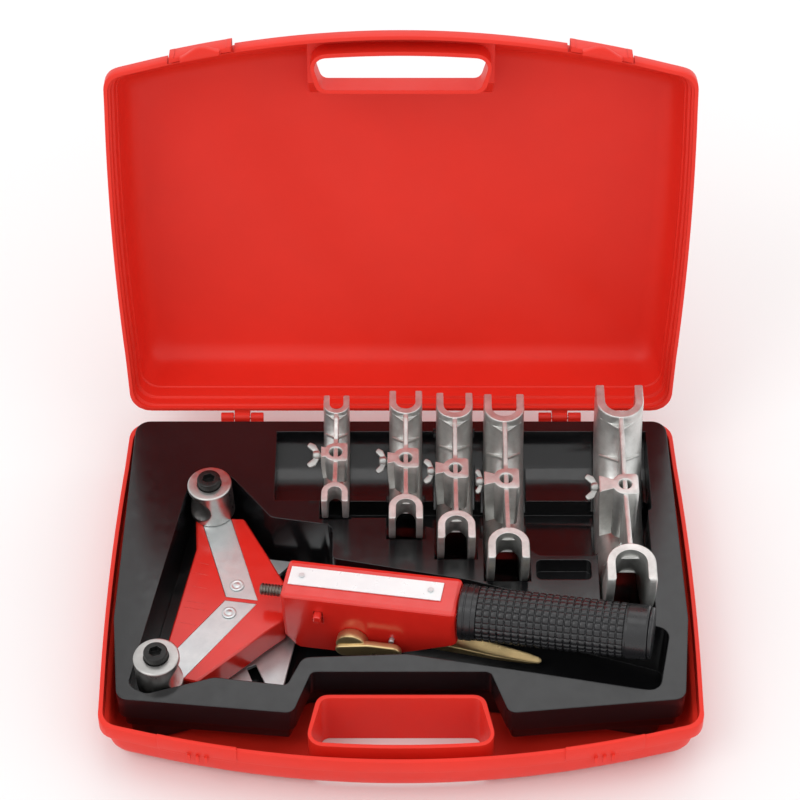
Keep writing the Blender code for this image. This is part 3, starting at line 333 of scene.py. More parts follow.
def make_grain_group():
    """Fine bumps over the surface from one noise, which can be stretched along the case's width."""
    takes = [
        ("Scale", "NodeSocketFloat", 900.0),
        ("Stretch", "NodeSocketFloat", 1.0),
        ("Strength", "NodeSocketFloat", 0.2),
        ("Depth", "NodeSocketFloat", 0.0001),
        ("Normal", "NodeSocketVector", None),
    ]
    tree, given, out = new_group("grain", takes, [("Normal", "NodeSocketVector", None)])
    place = node(tree, "ShaderNodeTexCoord")
    squeeze = node(tree, "ShaderNodeCombineXYZ", {"X": given.outputs["Stretch"], "Y": 1.0, "Z": 1.0})
    pulled = node(
        tree,
        "ShaderNodeVectorMath",
        {0: place.outputs["Object"], 1: squeeze.outputs["Vector"]},
        operation="MULTIPLY",
    )
    fine = node(
        tree,
        "ShaderNodeTexNoise",
        {"Vector": pulled.outputs["Vector"], "Scale": given.outputs["Scale"], "Detail": 5.0},
    )
    bump = node(
        tree,
        "ShaderNodeBump",
        {
            "Height": fine.outputs["Fac"],
            "Strength": given.outputs["Strength"],
            "Distance": given.outputs["Depth"],
            "Normal": given.outputs["Normal"],
        },
    )
    tree.links.new(bump.outputs["Normal"], out.inputs["Normal"])
    return tree


GROUPS = {}
# sockets of a Mix node for colours, and how much finer the roughness varies than the colour
MIX_FACTOR, MIX_A, MIX_B, MIX_RESULT = 0, 6, 7, 2
ROUGHNESS_FINER = 3.7


def fill_group(tree, name, inputs):
    """One of the shared groups, placed in a material with its own values."""
    return node(tree, "ShaderNodeGroup", inputs, node_tree=GROUPS[name])


def finish(
    name,
    colour,
    deep,
    worn,
    roughness,
    metallic=0.0,
    patch=18.0,
    wear=0.5,
    reach=0.0005,
    grain=(900.0, 1.0, 0.15, 0.00008),
    coat=0.0,
    specular=0.5,
):
    """A material from two shades of a colour, a worn edge colour, a range of roughness and a grain."""
    made = bpy.data.materials.new(name)
    made.use_nodes = True
    tree = made.node_tree
    shader = tree.nodes["Principled BSDF"]
    edges = fill_group(tree, "worn edges", {"Reach": reach, "Wear": wear})
    shade = fill_group(tree, "patches", {"Scale": patch, "Low": 0.0, "High": 1.0})
    tone = node(tree, "ShaderNodeMix", data_type="RGBA")
    tree.links.new(shade.outputs["Value"], tone.inputs[MIX_FACTOR])
    tone.inputs[MIX_A].default_value = (*deep, 1.0)
    tone.inputs[MIX_B].default_value = (*colour, 1.0)
    rubbed = node(tree, "ShaderNodeMix", data_type="RGBA")
    tree.links.new(edges.outputs["Mask"], rubbed.inputs[MIX_FACTOR])
    tree.links.new(tone.outputs[MIX_RESULT], rubbed.inputs[MIX_A])
    rubbed.inputs[MIX_B].default_value = (*worn, 1.0)
    tree.links.new(rubbed.outputs[MIX_RESULT], shader.inputs["Base Color"])
    low, high = roughness
    rough = fill_group(tree, "patches", {"Scale": patch * ROUGHNESS_FINER, "Low": low, "High": high})
    tree.links.new(rough.outputs["Value"], shader.inputs["Roughness"])
    scale, stretch, strength, depth = grain
    values = {"Scale": scale, "Stretch": stretch, "Strength": strength, "Depth": depth}
    fine = fill_group(tree, "grain", {**values, "Normal": edges.outputs["Normal"]})
    tree.links.new(fine.outputs["Normal"], shader.inputs["Normal"])
    shader.inputs["Metallic"].default_value = metallic
    shader.inputs["Specular IOR Level"].default_value = specular
    shader.inputs["Coat Weight"].default_value = coat
    shader.inputs["Coat Roughness"].default_value = 0.12
    return made


FINISHES = {}


def shades(colour, low):
    """The colour with each channel times low."""
    return tuple(c * low for c in colour)


def make_finishes(look):
    """Every finish of the set. Colours that a user may change come from the panel."""
    GROUPS["patches"] = make_patches_group()
    GROUPS["worn edges"] = make_edges_group()
    GROUPS["grain"] = make_grain_group()
    red = tuple(look.case_colour)
    paint = tuple(look.paint_colour)
    tray = tuple(look.tray_colour)
    FINISHES.update(
        red_plastic=finish(
            "moulded red plastic", red, shades(red, 0.92), (0.90, 0.12, 0.07), (0.38, 0.50), 0.0, 9.0, 0.35,
            0.0007, (1500.0, 1.0, 0.12, 0.00006), 0.0, 0.28,
        ),
        black_tray=finish(
            "drawn black sheet", tray, shades(tray, 0.7), (0.06, 0.06, 0.065), (0.13, 0.22), 0.0, 26.0, 0.5,
            0.0010, (160.0, 1.0, 0.10, 0.00010), 0.0, 0.5,
        ),
        red_paint=finish(
            "gloss red paint", paint, shades(paint, 0.90), (0.80, 0.25, 0.20), (0.16, 0.27), 0.0, 30.0, 0.5,
            0.0008, (520.0, 1.0, 0.16, 0.00008), 0.35,
        ),
        zinc_steel=finish(
            "zinc plated steel", (0.74, 0.77, 0.77), (0.60, 0.64, 0.65), (0.85, 0.86, 0.86), (0.30, 0.46),
            0.85, 60.0, 0.5, 0.0004, (700.0, 0.2, 0.16, 0.00005),
        ),
        cast_steel=finish(
            "turned steel", (0.62, 0.61, 0.59), (0.42, 0.41, 0.40), (0.85, 0.84, 0.82), (0.26, 0.42), 1.0,
            45.0, 0.6, 0.0005, (420.0, 1.0, 0.30, 0.00010),
        ),
        black_steel=finish(
            "black oxide steel", (0.035, 0.034, 0.033), (0.018, 0.018, 0.018), (0.20, 0.20, 0.20),
            (0.26, 0.40), 0.6, 80.0, 0.6, 0.0004, (900.0, 1.0, 0.2, 0.00005),
        ),
        dark_steel=finish(
            "oiled dark steel", (0.24, 0.21, 0.18), (0.12, 0.10, 0.09), (0.55, 0.52, 0.48), (0.28, 0.45),
            0.95, 90.0, 0.8, 0.0004, (800.0, 1.0, 0.3, 0.00006),
        ),
        yellow_zinc=finish(
            "yellow zinc plate", (0.66, 0.50, 0.25), (0.56, 0.41, 0.20), (0.78, 0.66, 0.42), (0.26, 0.36),
            0.85, 40.0, 0.3, 0.0006, (900.0, 1.0, 0.10, 0.00003),
        ),
        cast_aluminium=finish(
            "cast aluminium", (0.74, 0.74, 0.72), (0.52, 0.52, 0.50), (0.88, 0.88, 0.86), (0.30, 0.48), 0.8,
            70.0, 0.7, 0.0005, (420.0, 1.0, 0.6, 0.00022),
        ),
        black_grip=finish(
            "black grip", (0.016, 0.016, 0.018), (0.010, 0.010, 0.011), (0.05, 0.05, 0.05), (0.24, 0.36), 0.0,
            50.0, 0.3, 0.0004, (1400.0, 1.0, 0.18, 0.00005), 0.1,
        ),
        silver_label=finish(
            "blank label", (0.86, 0.87, 0.87), (0.80, 0.81, 0.82), (0.70, 0.70, 0.70), (0.26, 0.36), 0.15,
            40.0, 0.3, 0.0003, (900.0, 1.0, 0.06, 0.00004),
        ),
        # The same zinc as the plated steel, made darker for the wing screws: the darkening is painted shade.
        wing_zinc=finish(
            "zinc with painted shade", (0.50, 0.50, 0.48), (0.34, 0.34, 0.33), (0.72, 0.72, 0.70), (0.32, 0.48), 0.9,
            60.0, 0.6, 0.0004, (700.0, 1.0, 0.3, 0.00008),
        ),
        # Near-black finish for a disc sunk in each former's bore: painted shade of the deep hole, not a
        # colour of the aluminium.
        dark_bore=finish(
            "bore", (0.05, 0.045, 0.04), (0.02, 0.02, 0.02), (0.1, 0.1, 0.1), (0.5, 0.6), 0.5, 90.0, 0.0,
        ),
    )


# ---- the case
def front_edge(x):
    """The front edge bows out from the corners to the middle, by the square of x."""
    return -0.157 + 0.029 * (x / 0.199) ** 2


def case_outline(count=520):
    half = [(x, front_edge(x), 0) for x in np.linspace(0, 0.192, 25)[:-2]]
    half += [(0.2094, -0.1256, 0.013)]
    half += [(0.2106 - SIDE_BOW * ((y + 0.040) ** 2), y, 0) for y in np.linspace(-0.10, 0.11, 14)]
    half += [(0.2036, 0.156, 0.015)]
    full = half + [(-x, y, radius) for x, y, radius in reversed(half) if x > 0]
    return even(soft_corners(full), count)


def case_skin(levels, lean=0.0):
    """The outline carried up through (height, inset) levels, its front leaning back above 58.5 mm."""
    outline = case_outline()
    levels = np.array(levels, float)
    scale = 1 - levels[:, 1:] / np.array([[0.2106, 0.156]])
    rows = outline[None] * scale[:, None, :]
    back = np.minimum(np.maximum(levels[:, :1] - 0.0585, 0) * lean, 0.0225)
    rows[..., 1] += back * np.maximum(-rows[..., 1], 0) / 0.157
    heights = np.repeat(levels[:, :1], len(outline), 1)[..., None]
    return skin(np.concatenate([rows, heights], -1))


def handle_shape(grow, low, high, half_width=0.0550, back=-0.1023, count=160):
    half = [(x, -0.1418 - grow + 0.0028 * (x / 0.0635) ** 2, 0) for x in np.linspace(0, 0.050, 8)]
    half += [(0.0635 + grow, -0.1390 - grow, 0.008 + grow), (half_width + grow, back + grow, 0.006 + grow)]
    full = half + [(-x, y, radius) for x, y, radius in reversed(half) if x > 0]
    outline = even(soft_corners(full), count)
    levels = [np.c_[outline, np.full(count, z)] for z in (low, high)]
    return skin(levels)


def edge_bar(x, half, reach, depth, low, high, edge=0.0005, bulge=0.0):
    """A bar that follows the front edge round x, from reach before it to depth behind it."""
    u = np.linspace(-half, half, 25)
    front = front_edge(x + u) - reach - bulge * np.cos(u / half * math.pi / 2) ** 1.5
    back = front_edge(x + u[::-1]) + depth
    outline = np.r_[np.c_[x + u, front], np.c_[x + u[::-1], back]]
    return slab(outline, low, high, edge, 3)


def knuckles(spans, low, high):
    """Hinge barrels, each with a foot that meets the rim."""
    shapes = []
    for start, end in spans:
        profile = soft_profile([(start, 0.0010), (start, 0.0036), (end, 0.0036), (end, 0.0010)], 0.0006)
        shapes.append(turned(profile, 32, HINGE[1], RIM))
        foot = np.array([(start, 0.1545), (end, 0.1545), (end, 0.1610), (start, 0.1610)])
        shapes.append(slab(foot, low, high, 0.0004, 3))
    return shapes


def hinge_spans(places, gap=0.0):
    low, high = 0.104, 0.136
    spans = []
    for first, last in places:
        a, b = low + (high - low) * first + gap, low + (high - low) * last - gap
        spans += [(a, b), (-b, -a)]
    return spans


class BENDERSET_OT_case_base(bpy.types.Operator):
    """Builds the red base with its rim, handle opening, catch places and hinge barrels"""

    bl_idname = "benderset.case_base"
    bl_label = "Case base"

    def execute(self, context):
        outer = [(0.0, 0.0215), (0.0006, 0.0190), (0.002, 0.0165), (0.004, 0.0140), (0.007, 0.0112)]
        outer += [(0.011, 0.0086), (0.016, 0.0066), (0.022, 0.0054), (0.029, 0.0046), (0.0335, 0.0042)]
        outer += [(0.0341, 0.0036), (0.0345, 0.0010), (0.0350, 0.0002), (0.0360, 0.0), (RIM - 0.0006, 0.0)]
        outer += [(RIM - 0.0001, 0.0003), (RIM, 0.0008)]
        inner = [(0.003, 0.0225), (0.0040, 0.0190), (0.006, 0.0160), (0.010, 0.0124), (0.019, 0.0088)]
        inner += [(0.033, 0.0070), (0.0350, 0.0060), (0.0362, 0.0036)]
        inner += [(0.040, 0.0033), (RIM + 0.001, 0.0031)]
        red = FINISHES["red_plastic"]
        base = piece(
            "red_base", [case_skin(outer)], red, "case", replaces=("case_base",)
        )
        room = piece("room", [case_skin(inner)], red, None)
        carve(room, [handle_shape(0.0030, -0.01, 0.06)])
        tool = (points_of(room), faces_of(room))
        bpy.data.objects.remove(room)
        carve(base, [tool, handle_shape(0.0, -0.01, 0.06)])
        round_edges(base, 0.0007)
        extras = []
        for x in (-0.140, 0.140):
            extras.append(edge_bar(x, 0.0275, 0.0006, 0.0028, 0.0365, RIM + 0.0020, 0.0006))
            for place in (-0.006, 0.0, 0.006):
                extras.append(edge_bar(x + place, 0.0012, 0.0022, 0.001, 0.0300, 0.0372, 0.0004))
            extras.append(edge_bar(x, 0.0265, 0.0003, 0.001, 0.0345, 0.0372, 0.0004))
        extras += knuckles(hinge_spans([(0.0, 0.3), (0.7, 1.0)]), 0.040, RIM - 0.0003)
        piece("catches_and_hinge", extras, red, "case")
        return {"FINISHED"}


def points_of(made):
    flat = np.empty(len(made.data.vertices) * 3)
    made.data.vertices.foreach_get("co", flat)
    return flat.reshape(-1, 3)


def faces_of(made):
    return [list(face.vertices) for face in made.data.polygons]


LID_HANDLE = (0.0562, -0.1149)


def grip_room(back, shelf, width):
    """Room for fingers outside the lid's handle: its back slopes away from the hole by 0.68 per height."""
    top = 0.13
    outline = np.array([(-0.2, shelf), (back, shelf), (back + 0.68 * (top - shelf), top), (-0.2, top)])
    return slab(outline, -width, width, 0.0004, 3, "YZ")


class BENDERSET_OT_case_lid(bpy.types.Operator):
    """Builds the open lid: stepped inner walls, a shallow zone round the handle and its hinge barrels"""

    bl_idname = "benderset.case_lid"
    bl_label = "Case lid"

    def execute(self, context):
        start = RIM + 0.0003
        outer = [(start, 0.0008), (start + 0.0002, 0.0003), (start + 0.0008, 0.0)]
        outer += [(0.0570, 0.0), (0.0577, 0.0004)]
        outer += [(0.0582, 0.0020), (0.0590, 0.0027), (0.085, 0.0042), (0.096, 0.0060), (0.102, 0.0084)]
        outer += [(0.106, 0.0115), (0.1085, 0.0150), (0.1096, 0.0185), (0.1100, 0.0220)]
        inner = [(start - 0.001, 0.0028), (0.0500, 0.0029), (0.0506, 0.0044)]
        inner += [(0.0580, 0.0046), (0.0586, 0.0062)]
        inner += [(0.0700, 0.0066), (0.0706, 0.0074), (0.085, 0.0082), (0.096, 0.0098), (0.1010, 0.0120)]
        inner += [(0.1045, 0.0155), (0.1064, 0.0195), (0.1072, 0.0235)]
        red = FINISHES["red_plastic"]
        lean = 0.62
        lid = piece(
            "red_lid", [case_skin(outer, lean)], red, "lid", replaces=("case_lid",)
        )
        room = piece("room", [case_skin(inner, lean)], red, None)
        walls = grip_room(-0.1121, 0.0641, 0.0663)
        carve(room, [walls, handle_shape(0.0030, 0.03, 0.12, *LID_HANDLE)])
        tool = (points_of(room), faces_of(room))
        bpy.data.objects.remove(room)
        notches = [edge_bar(s * 0.140, 0.0235, 0.006, 0.0022, 0.040, 0.0602, 0.0003) for s in (-1, 1)]
        hole = handle_shape(0.0, 0.03, 0.12, *LID_HANDLE)
        carve(lid, [tool, grip_room(-0.1130, 0.0668, 0.0637), hole] + notches)
        places, _ = moved((points_of(lid), None), OPEN_LID)
        lid.data.vertices.foreach_set("co", places.ravel())
        round_edges(lid, 0.0006)
        barrels = knuckles(hinge_spans([(0.3, 0.7)], 0.0006), RIM + 0.0003, 0.0545)
        piece("lid_hinge_barrels", barrels, red, "lid", OPEN_LID)
        return {"FINISHED"}


class BENDERSET_OT_latches(bpy.types.Operator):
    """Builds the two snap latches with their curved thumb tabs"""

    bl_idname = "benderset.latches"
    bl_label = "Latches"

    def execute(self, context):
        for side, letter, x in (("left", "l", -0.140), ("right", "r", 0.140)):
            shapes = [
                edge_bar(x, 0.0220, 0.0048, -0.0010, 0.0408, 0.0562, 0.0010),
                edge_bar(x, 0.0220, 0.0040, 0.0014, 0.0500, 0.0562, 0.0006),
                edge_bar(x, 0.0140, 0.0046, -0.0010, 0.0376, 0.0428, 0.0010, bulge=0.0050),
            ]
            for end in (x - 0.0200, x + 0.0200):
                shapes.append(edge_bar(end, 0.0018, 0.0053, -0.0012, 0.0412, 0.0550, 0.0005))
            fitted(
                f"snap_latch_{side}", shapes, "red_plastic", f"latch_{letter}", OPEN_LID,
                replaces=(f"latch_{side}",),
            )
        return {"FINISHED"}


# ---- the tray
TRAY = [(0.0623, -0.0868, 0.005), (0.0745, -0.1222, 0.007), (0.1965, -0.1100, 0.009)]
TRAY += [(0.2028, -0.040, 0), (0.1985, 0.1480, 0.011)]
TRAY += [(-x, y, radius) for x, y, radius in reversed(TRAY)]
POCKET = [(-0.1895, -0.0990, 0.008), (-0.1760, -0.1060, 0.008)]
POCKET += [(-0.1298, -0.0917, 0.012), (-0.0789, -0.0986, 0.005)]
POCKET += [(-0.0684, -0.0743, 0.008), (0.0042, -0.0712, 0.03)]
POCKET += [(0.0911, -0.0872, 0.03), (0.1791, -0.1040, 0.009)]
POCKET += [(0.1896, -0.0500, 0.009), (0.0490, -0.0050, 0.03)]
POCKET += [(-0.0494, 0.0150, 0.004), (-0.0494, 0.0461, 0.007)]
POCKET += [(-0.0947, 0.0537, 0.008), (-0.1270, 0.0953, 0.010), (-0.1555, 0.0894, 0.010)]
WELL = [(-0.093, 0.071, 0.004), (-0.060, 0.071, 0.006), (-0.036, 0.053, 0.008), (-0.010, 0.053, 0.02)]
WELL += [(0.092, 0.024, 0.006), (0.100, 0.018, 0.004), (0.142, 0.018, 0.005), (0.148, 0.060, 0.004)]
WELL += [(0.183, 0.060, 0.004), (0.183, 0.092, 0.004), (-0.093, 0.092, 0.004)]


def hollow(corners, grow, low, high):
    """A pocket: the outline of the corners, moved out by grow."""
    outline = soft_corners(corners, 8)
    if area(outline) < 0:
        outline = outline[::-1]
    return slab(grown(outline, grow), low, high, 0.00005, 2)


def area(outline):
    """Half the sum of cross products of following points: above zero if anticlockwise."""
    on = np.roll(outline, -1, 0)
    return (outline[:, 0] * on[:, 1] - outline[:, 1] * on[:, 0]).sum() / 2


def tray_hollows(grow, top):
    """Every hollow of the tray as a closed shape, grown by grow, each running up to top."""
    made = [hollow(POCKET, grow, 0.0072 - grow, top)]
    turn = np.linspace(0, math.pi / 2, 14)
    curve = np.c_[0.100 + (0.0375 + grow) * np.sin(turn), 0.057 - (0.027 + grow) * np.cos(turn)]
    curve = curve[curve[:, 1] < top - 0.0008]
    ledge = np.r_[[(0.070, 0.030 - grow)], curve, [(0.1375 + grow, top), (0.070, top)]]
    made.append(slab(ledge, -0.093 - grow, 0.183 + grow, 0.00005, 2, "YZ"))
    made.append(hollow(WELL, grow, 0.014 - grow, top))
    dish = [(0.097, -0.0045, 0.004), (0.1365, -0.0045, 0.004)]
    dish += [(0.1365, 0.0135, 0.004), (0.097, 0.0135, 0.004)]
    made.append(hollow(dish, grow, 0.044 - grow, top))
    for diameter, x, y, z, radius in FORMERS.values():
        half = half_width(diameter) + 0.0020 + grow
        reach = radius + 0.0012 + grow
        turn = math.acos((z - top) / reach) * np.linspace(-1, 1, 90)
        round_slot = np.c_[y + reach * np.sin(turn), z - reach * np.cos(turn)]
        made.append(slab(round_slot, x - half, x + half, 0.00005, 2, "YZ"))
    return made


class BENDERSET_OT_tray(bpy.types.Operator):
    """Builds the black tray as one drawn sheet with a skirt and rounded pockets"""

    bl_idname = "benderset.tray"
    bl_label = "Moulded tray"

    def execute(self, context):
        step, set_in, thick = 0.0355, 0.0045, 0.0015
        cap = hollow(TRAY, 0.0, step, 0.057)
        black = FINISHES["black_tray"]
        tray = piece("drawn_tray", [cap], black, "case", replaces=("tray",))
        carve(tray, [hollow(TRAY, -set_in, 0.0220, step + 0.001)], "UNION")
        carve(tray, [hollow(TRAY, -thick, step + thick, 0.057 - thick)])
        carve(tray, [hollow(TRAY, -set_in - thick, 0.02, step + 0.003)])
        carve(tray, tray_hollows(thick, 0.057 - 0.0004), "UNION")
        carve(tray, tray_hollows(0.0, 0.061))
        round_edges(tray, 0.0019, 4, 28)
        return {"FINISHED"}


# ---- the bender
ROD_Z = 0.016
SHOES = {"back": ("b", 1, math.radians(222)), "front": ("f", -1, math.radians(12))}


def upright(x, y):
    return BENDER_TO_CASE @ Matrix.Translation((x, y, 0))


class BENDERSET_OT_shoes(bpy.types.Operator):
    """Builds the two guide shoes with their half-round grooves, and the socket screws in them"""

    bl_idname = "benderset.shoes"
    bl_label = "Guide shoes"

    def execute(self, context):
        for side, (letter, s, groove) in SHOES.items():
            rounded = [(0.0003, 0.0148), (0.0003, 0.0162), (0.0300, 0.0162), (0.0300, 0.0092)]
            rounded = soft_profile(rounded, 0.0012)
            middle = np.c_[np.linspace(0.0015, 0.0288, 40), np.full(40, 0.0162)]
            low = rounded[rounded[:, 0] < 0.0015]
            high = rounded[rounded[:, 0] > 0.0288]
            well = [(0.0300, 0.0090), (0.0262, 0.0088), (0.0262, 0.0050)]
            profile = np.r_[low, middle, high, np.array(well)]
            angle = np.linspace(0, 2 * math.pi, 120, endpoint=False)
            z, radius = profile[:, :1] + 0 * angle, profile[:, 1:]
            u, v = radius * np.cos(angle), radius * np.sin(angle)
            mouth = 0.0190 - np.sqrt(np.clip(0.0110**2 - (z - 0.015) ** 2, 0, None))
            mouth = np.where(np.abs(z - 0.015) < 0.0110, mouth, 1.0)
            u = np.minimum(u, mouth)
            rows = np.stack([u, v, z], -1)
            turn = upright(-0.0335, s * 0.0806) @ Matrix.Rotation(groove, 4, "Z")
            fitted(
                f"guide_shoe_{side}", [skin(rows)], "cast_steel", f"shoe_{letter}", turn,
                replaces=(f"shoe_{side}",),
            )
            head = [(0.0263, 0.0040), (0.0263, 0.0084), (0.0358, 0.0084), (0.0358, 0.0046)]
            head = soft_profile(head, 0.0010)
            ribs = angle * 36
            rows = np.stack(
                [
                    (head[:, 1:] + 0.00018 * np.sin(ribs) * (head[:, 1:] > 0.0083)) * np.cos(angle),
                    (head[:, 1:] + 0.00018 * np.sin(ribs) * (head[:, 1:] > 0.0083)) * np.sin(angle),
                    head[:, :1] + 0 * angle,
                ],
                -1,
            )
            six = 0.0042 / np.cos((angle + math.pi / 6) % (math.pi / 3) - math.pi / 6)
            socket = np.stack([six * np.cos(angle), six * np.sin(angle), np.full(120, 0.0358)], -1)
            deep = socket - np.array([0, 0, 0.0048])
            screw = skin(np.concatenate([rows, [socket, deep]]))
            shank = turned([(-0.0314, 0.0042), (-0.0308, 0.0049), (0.0268, 0.0049)], 32, axis="Z")
            fitted(
                f"socket_screw_{side}", [screw, shank], "black_steel", "bender",
                upright(-0.0335, s * 0.0806), replaces=(f"shoe_screw_{side}",),
            )
        return {"FINISHED"}


class BENDERSET_OT_head(bpy.types.Operator):
    """Adds the tick marks on the red head and the rivet heads of its arms"""

    bl_idname = "benderset.head"
    bl_label = "Bender head"

    def execute(self, context):
        ticks = []
        start = -0.033
        marks = [(0.020, 0.010), (0.008, 0.012), (-0.006, 0.013), (-0.012, 0.016), (-0.026, 0.012)]
        for y, wide in marks + [(0.030, 0.008)]:
            end = start + wide
            line = np.array([(start, y), (end, y - 0.001), (end, y - 0.0006), (start, y + 0.0004)])
            ticks.append(slab(line, -0.0002, 0.00012, 0.00005, 2))
        fitted("head_tick_marks", ticks, "red_paint", "bender", BENDER_TO_CASE)
        for side, s in (("back", 1), ("front", -1)):
            dome = [(0.0003, 0.0050), (0.0006, 0.0052), (0.0009, 0.0051)]
            dome += [(0.0012, 0.0046), (0.0013, 0.0036)]
            dome += [(0.0010, 0.0031), (0.0010, 0.0024), (0.0014, 0.0018), (0.0015, 0.0004)]
            stem = [(-0.0090, 0.0026), (-0.0085, 0.0030), (0.0006, 0.0030)]
            shapes = [turned(dome, 48, axis="Z"), turned(stem, 32, axis="Z")]
            fitted(
                f"arm_rivet_head_{side}", shapes, "zinc_steel", "bender", upright(0.0, s * 0.0127),
                replaces=(f"arm_rivet_{side}",),
            )
        return {"FINISHED"}


class BENDERSET_OT_rod(bpy.types.Operator):
    """Builds the push rod with its ridged tip and its row of teeth"""

    bl_idname = "benderset.rod"
    bl_label = "Push rod"

    def execute(self, context):
        profile = [(0.0215, 0.0028), (0.0219, 0.0037)]
        for ridge in range(9):
            x = 0.0222 + 0.0023 * ridge
            profile += [(x, 0.0037), (x + 0.0004, 0.0043), (x + 0.0013, 0.0043), (x + 0.0017, 0.0037)]
        profile += [(0.0436, 0.0038), (0.0446, 0.0049), (0.1955, 0.0049), (0.1960, 0.0044)]
        x = np.unique(np.r_[np.array(profile)[:, 0], np.arange(0.078, 0.176, 0.00035)])
        radius = np.interp(x, *np.array(profile).T)[:, None]
        angle = np.linspace(0, 2 * math.pi, 48, endpoint=False)
        y, z = radius * np.cos(angle), radius * np.sin(angle)
        saw = ((x - 0.078) / 0.0035) % 1
        toothed = (x > 0.078) & (x < 0.176)
        cut = np.where(toothed, 0.0050 - 0.0016 * np.clip(1 - saw * 1.12, 0, 1), 1.0)[:, None]
        rows = np.stack([x[:, None] + 0 * angle, y, np.maximum(z, -cut) + ROD_Z], -1)
        fitted(
            "push_rod", [skin(rows)], "dark_steel", "rod", BENDER_TO_CASE,
            replaces=("ratchet_rod",),
        )
        return {"FINISHED"}


class BENDERSET_OT_grip(bpy.types.Operator):
    """Builds the grip with its collar, its rows of pads and its flat end cap"""

    bl_idname = "benderset.grip"
    bl_label = "Grip"

    def execute(self, context):
        look = context.scene.benderset_look
        x = np.r_[np.linspace(0.1664, 0.1790, 60), np.linspace(0.1792, 0.2830, 420)]
        x = np.r_[x, np.linspace(0.2835, 0.2992, 60)]
        shape = [(0.1664, 0.0186), (0.1670, 0.0197), (0.1678, 0.0200), (0.1700, 0.0200), (0.1703, 0.0195)]
        shape += [(0.1712, 0.0195), (0.1715, 0.0200), (0.1755, 0.0200), (0.1760, 0.0193), (0.2830, 0.0193)]
        shape += [(0.2834, 0.0189), (0.2842, 0.0189), (0.2846, 0.0193)]
        shape += [(0.2980, 0.0192), (0.2988, 0.0188), (0.2992, 0.0183)]
        radius = np.interp(x, *np.array(shape).T)[:, None]
        angle = np.linspace(0, 2 * math.pi, 216, endpoint=False)
        ring = np.abs(((x - 0.1790) / 0.0052) % 1 - 0.5)[:, None] * 2
        line = np.abs((angle / (2 * math.pi) * look.grip_rows) % 1 - 0.5)[None] * 2
        fade = ((x > 0.1790) & (x < 0.2829))[:, None]
        groove = np.maximum(np.clip((ring - 0.70) / 0.2, 0, 1), np.clip((line - 0.72) / 0.2, 0, 1))
        crown = 0.00022 * (ring**2 + line**2)
        radius = radius - fade * (0.0008 * groove + crown)
        rows = np.stack([x[:, None] + 0 * angle, radius * np.cos(angle), radius * np.sin(angle) + ROD_Z], -1)
        ends = np.repeat(x[[-1, 0], None], 216, 1)
        bore = 0.0134 * np.stack([np.cos(angle), np.sin(angle)], -1) + np.array([0, ROD_Z])
        inner = np.concatenate([ends[..., None], np.repeat(bore[None], 2, 0)], -1)
        loop = np.concatenate([rows, inner, rows[:1]])
        fitted(
            "ribbed_grip", [skin(loop, capped=False)], "black_grip", "bender", BENDER_TO_CASE,
            replaces=("grip_sleeve",),
        )
        cap = [(0.2845, 0.0058), (0.2990, 0.0060), (0.2996, 0.0182), (0.3022, 0.0180), (0.3030, 0.0080)]
        cap = np.r_[soft_profile(cap, 0.0008), [(0.3027, 0.0060), (0.3027, 0.0004)]]
        fitted(
            "grip_end", [turned(cap, 96, 0.0, ROD_Z)], "black_grip", "bender", BENDER_TO_CASE,
            replaces=("grip_cap",),
        )
        return {"FINISHED"}


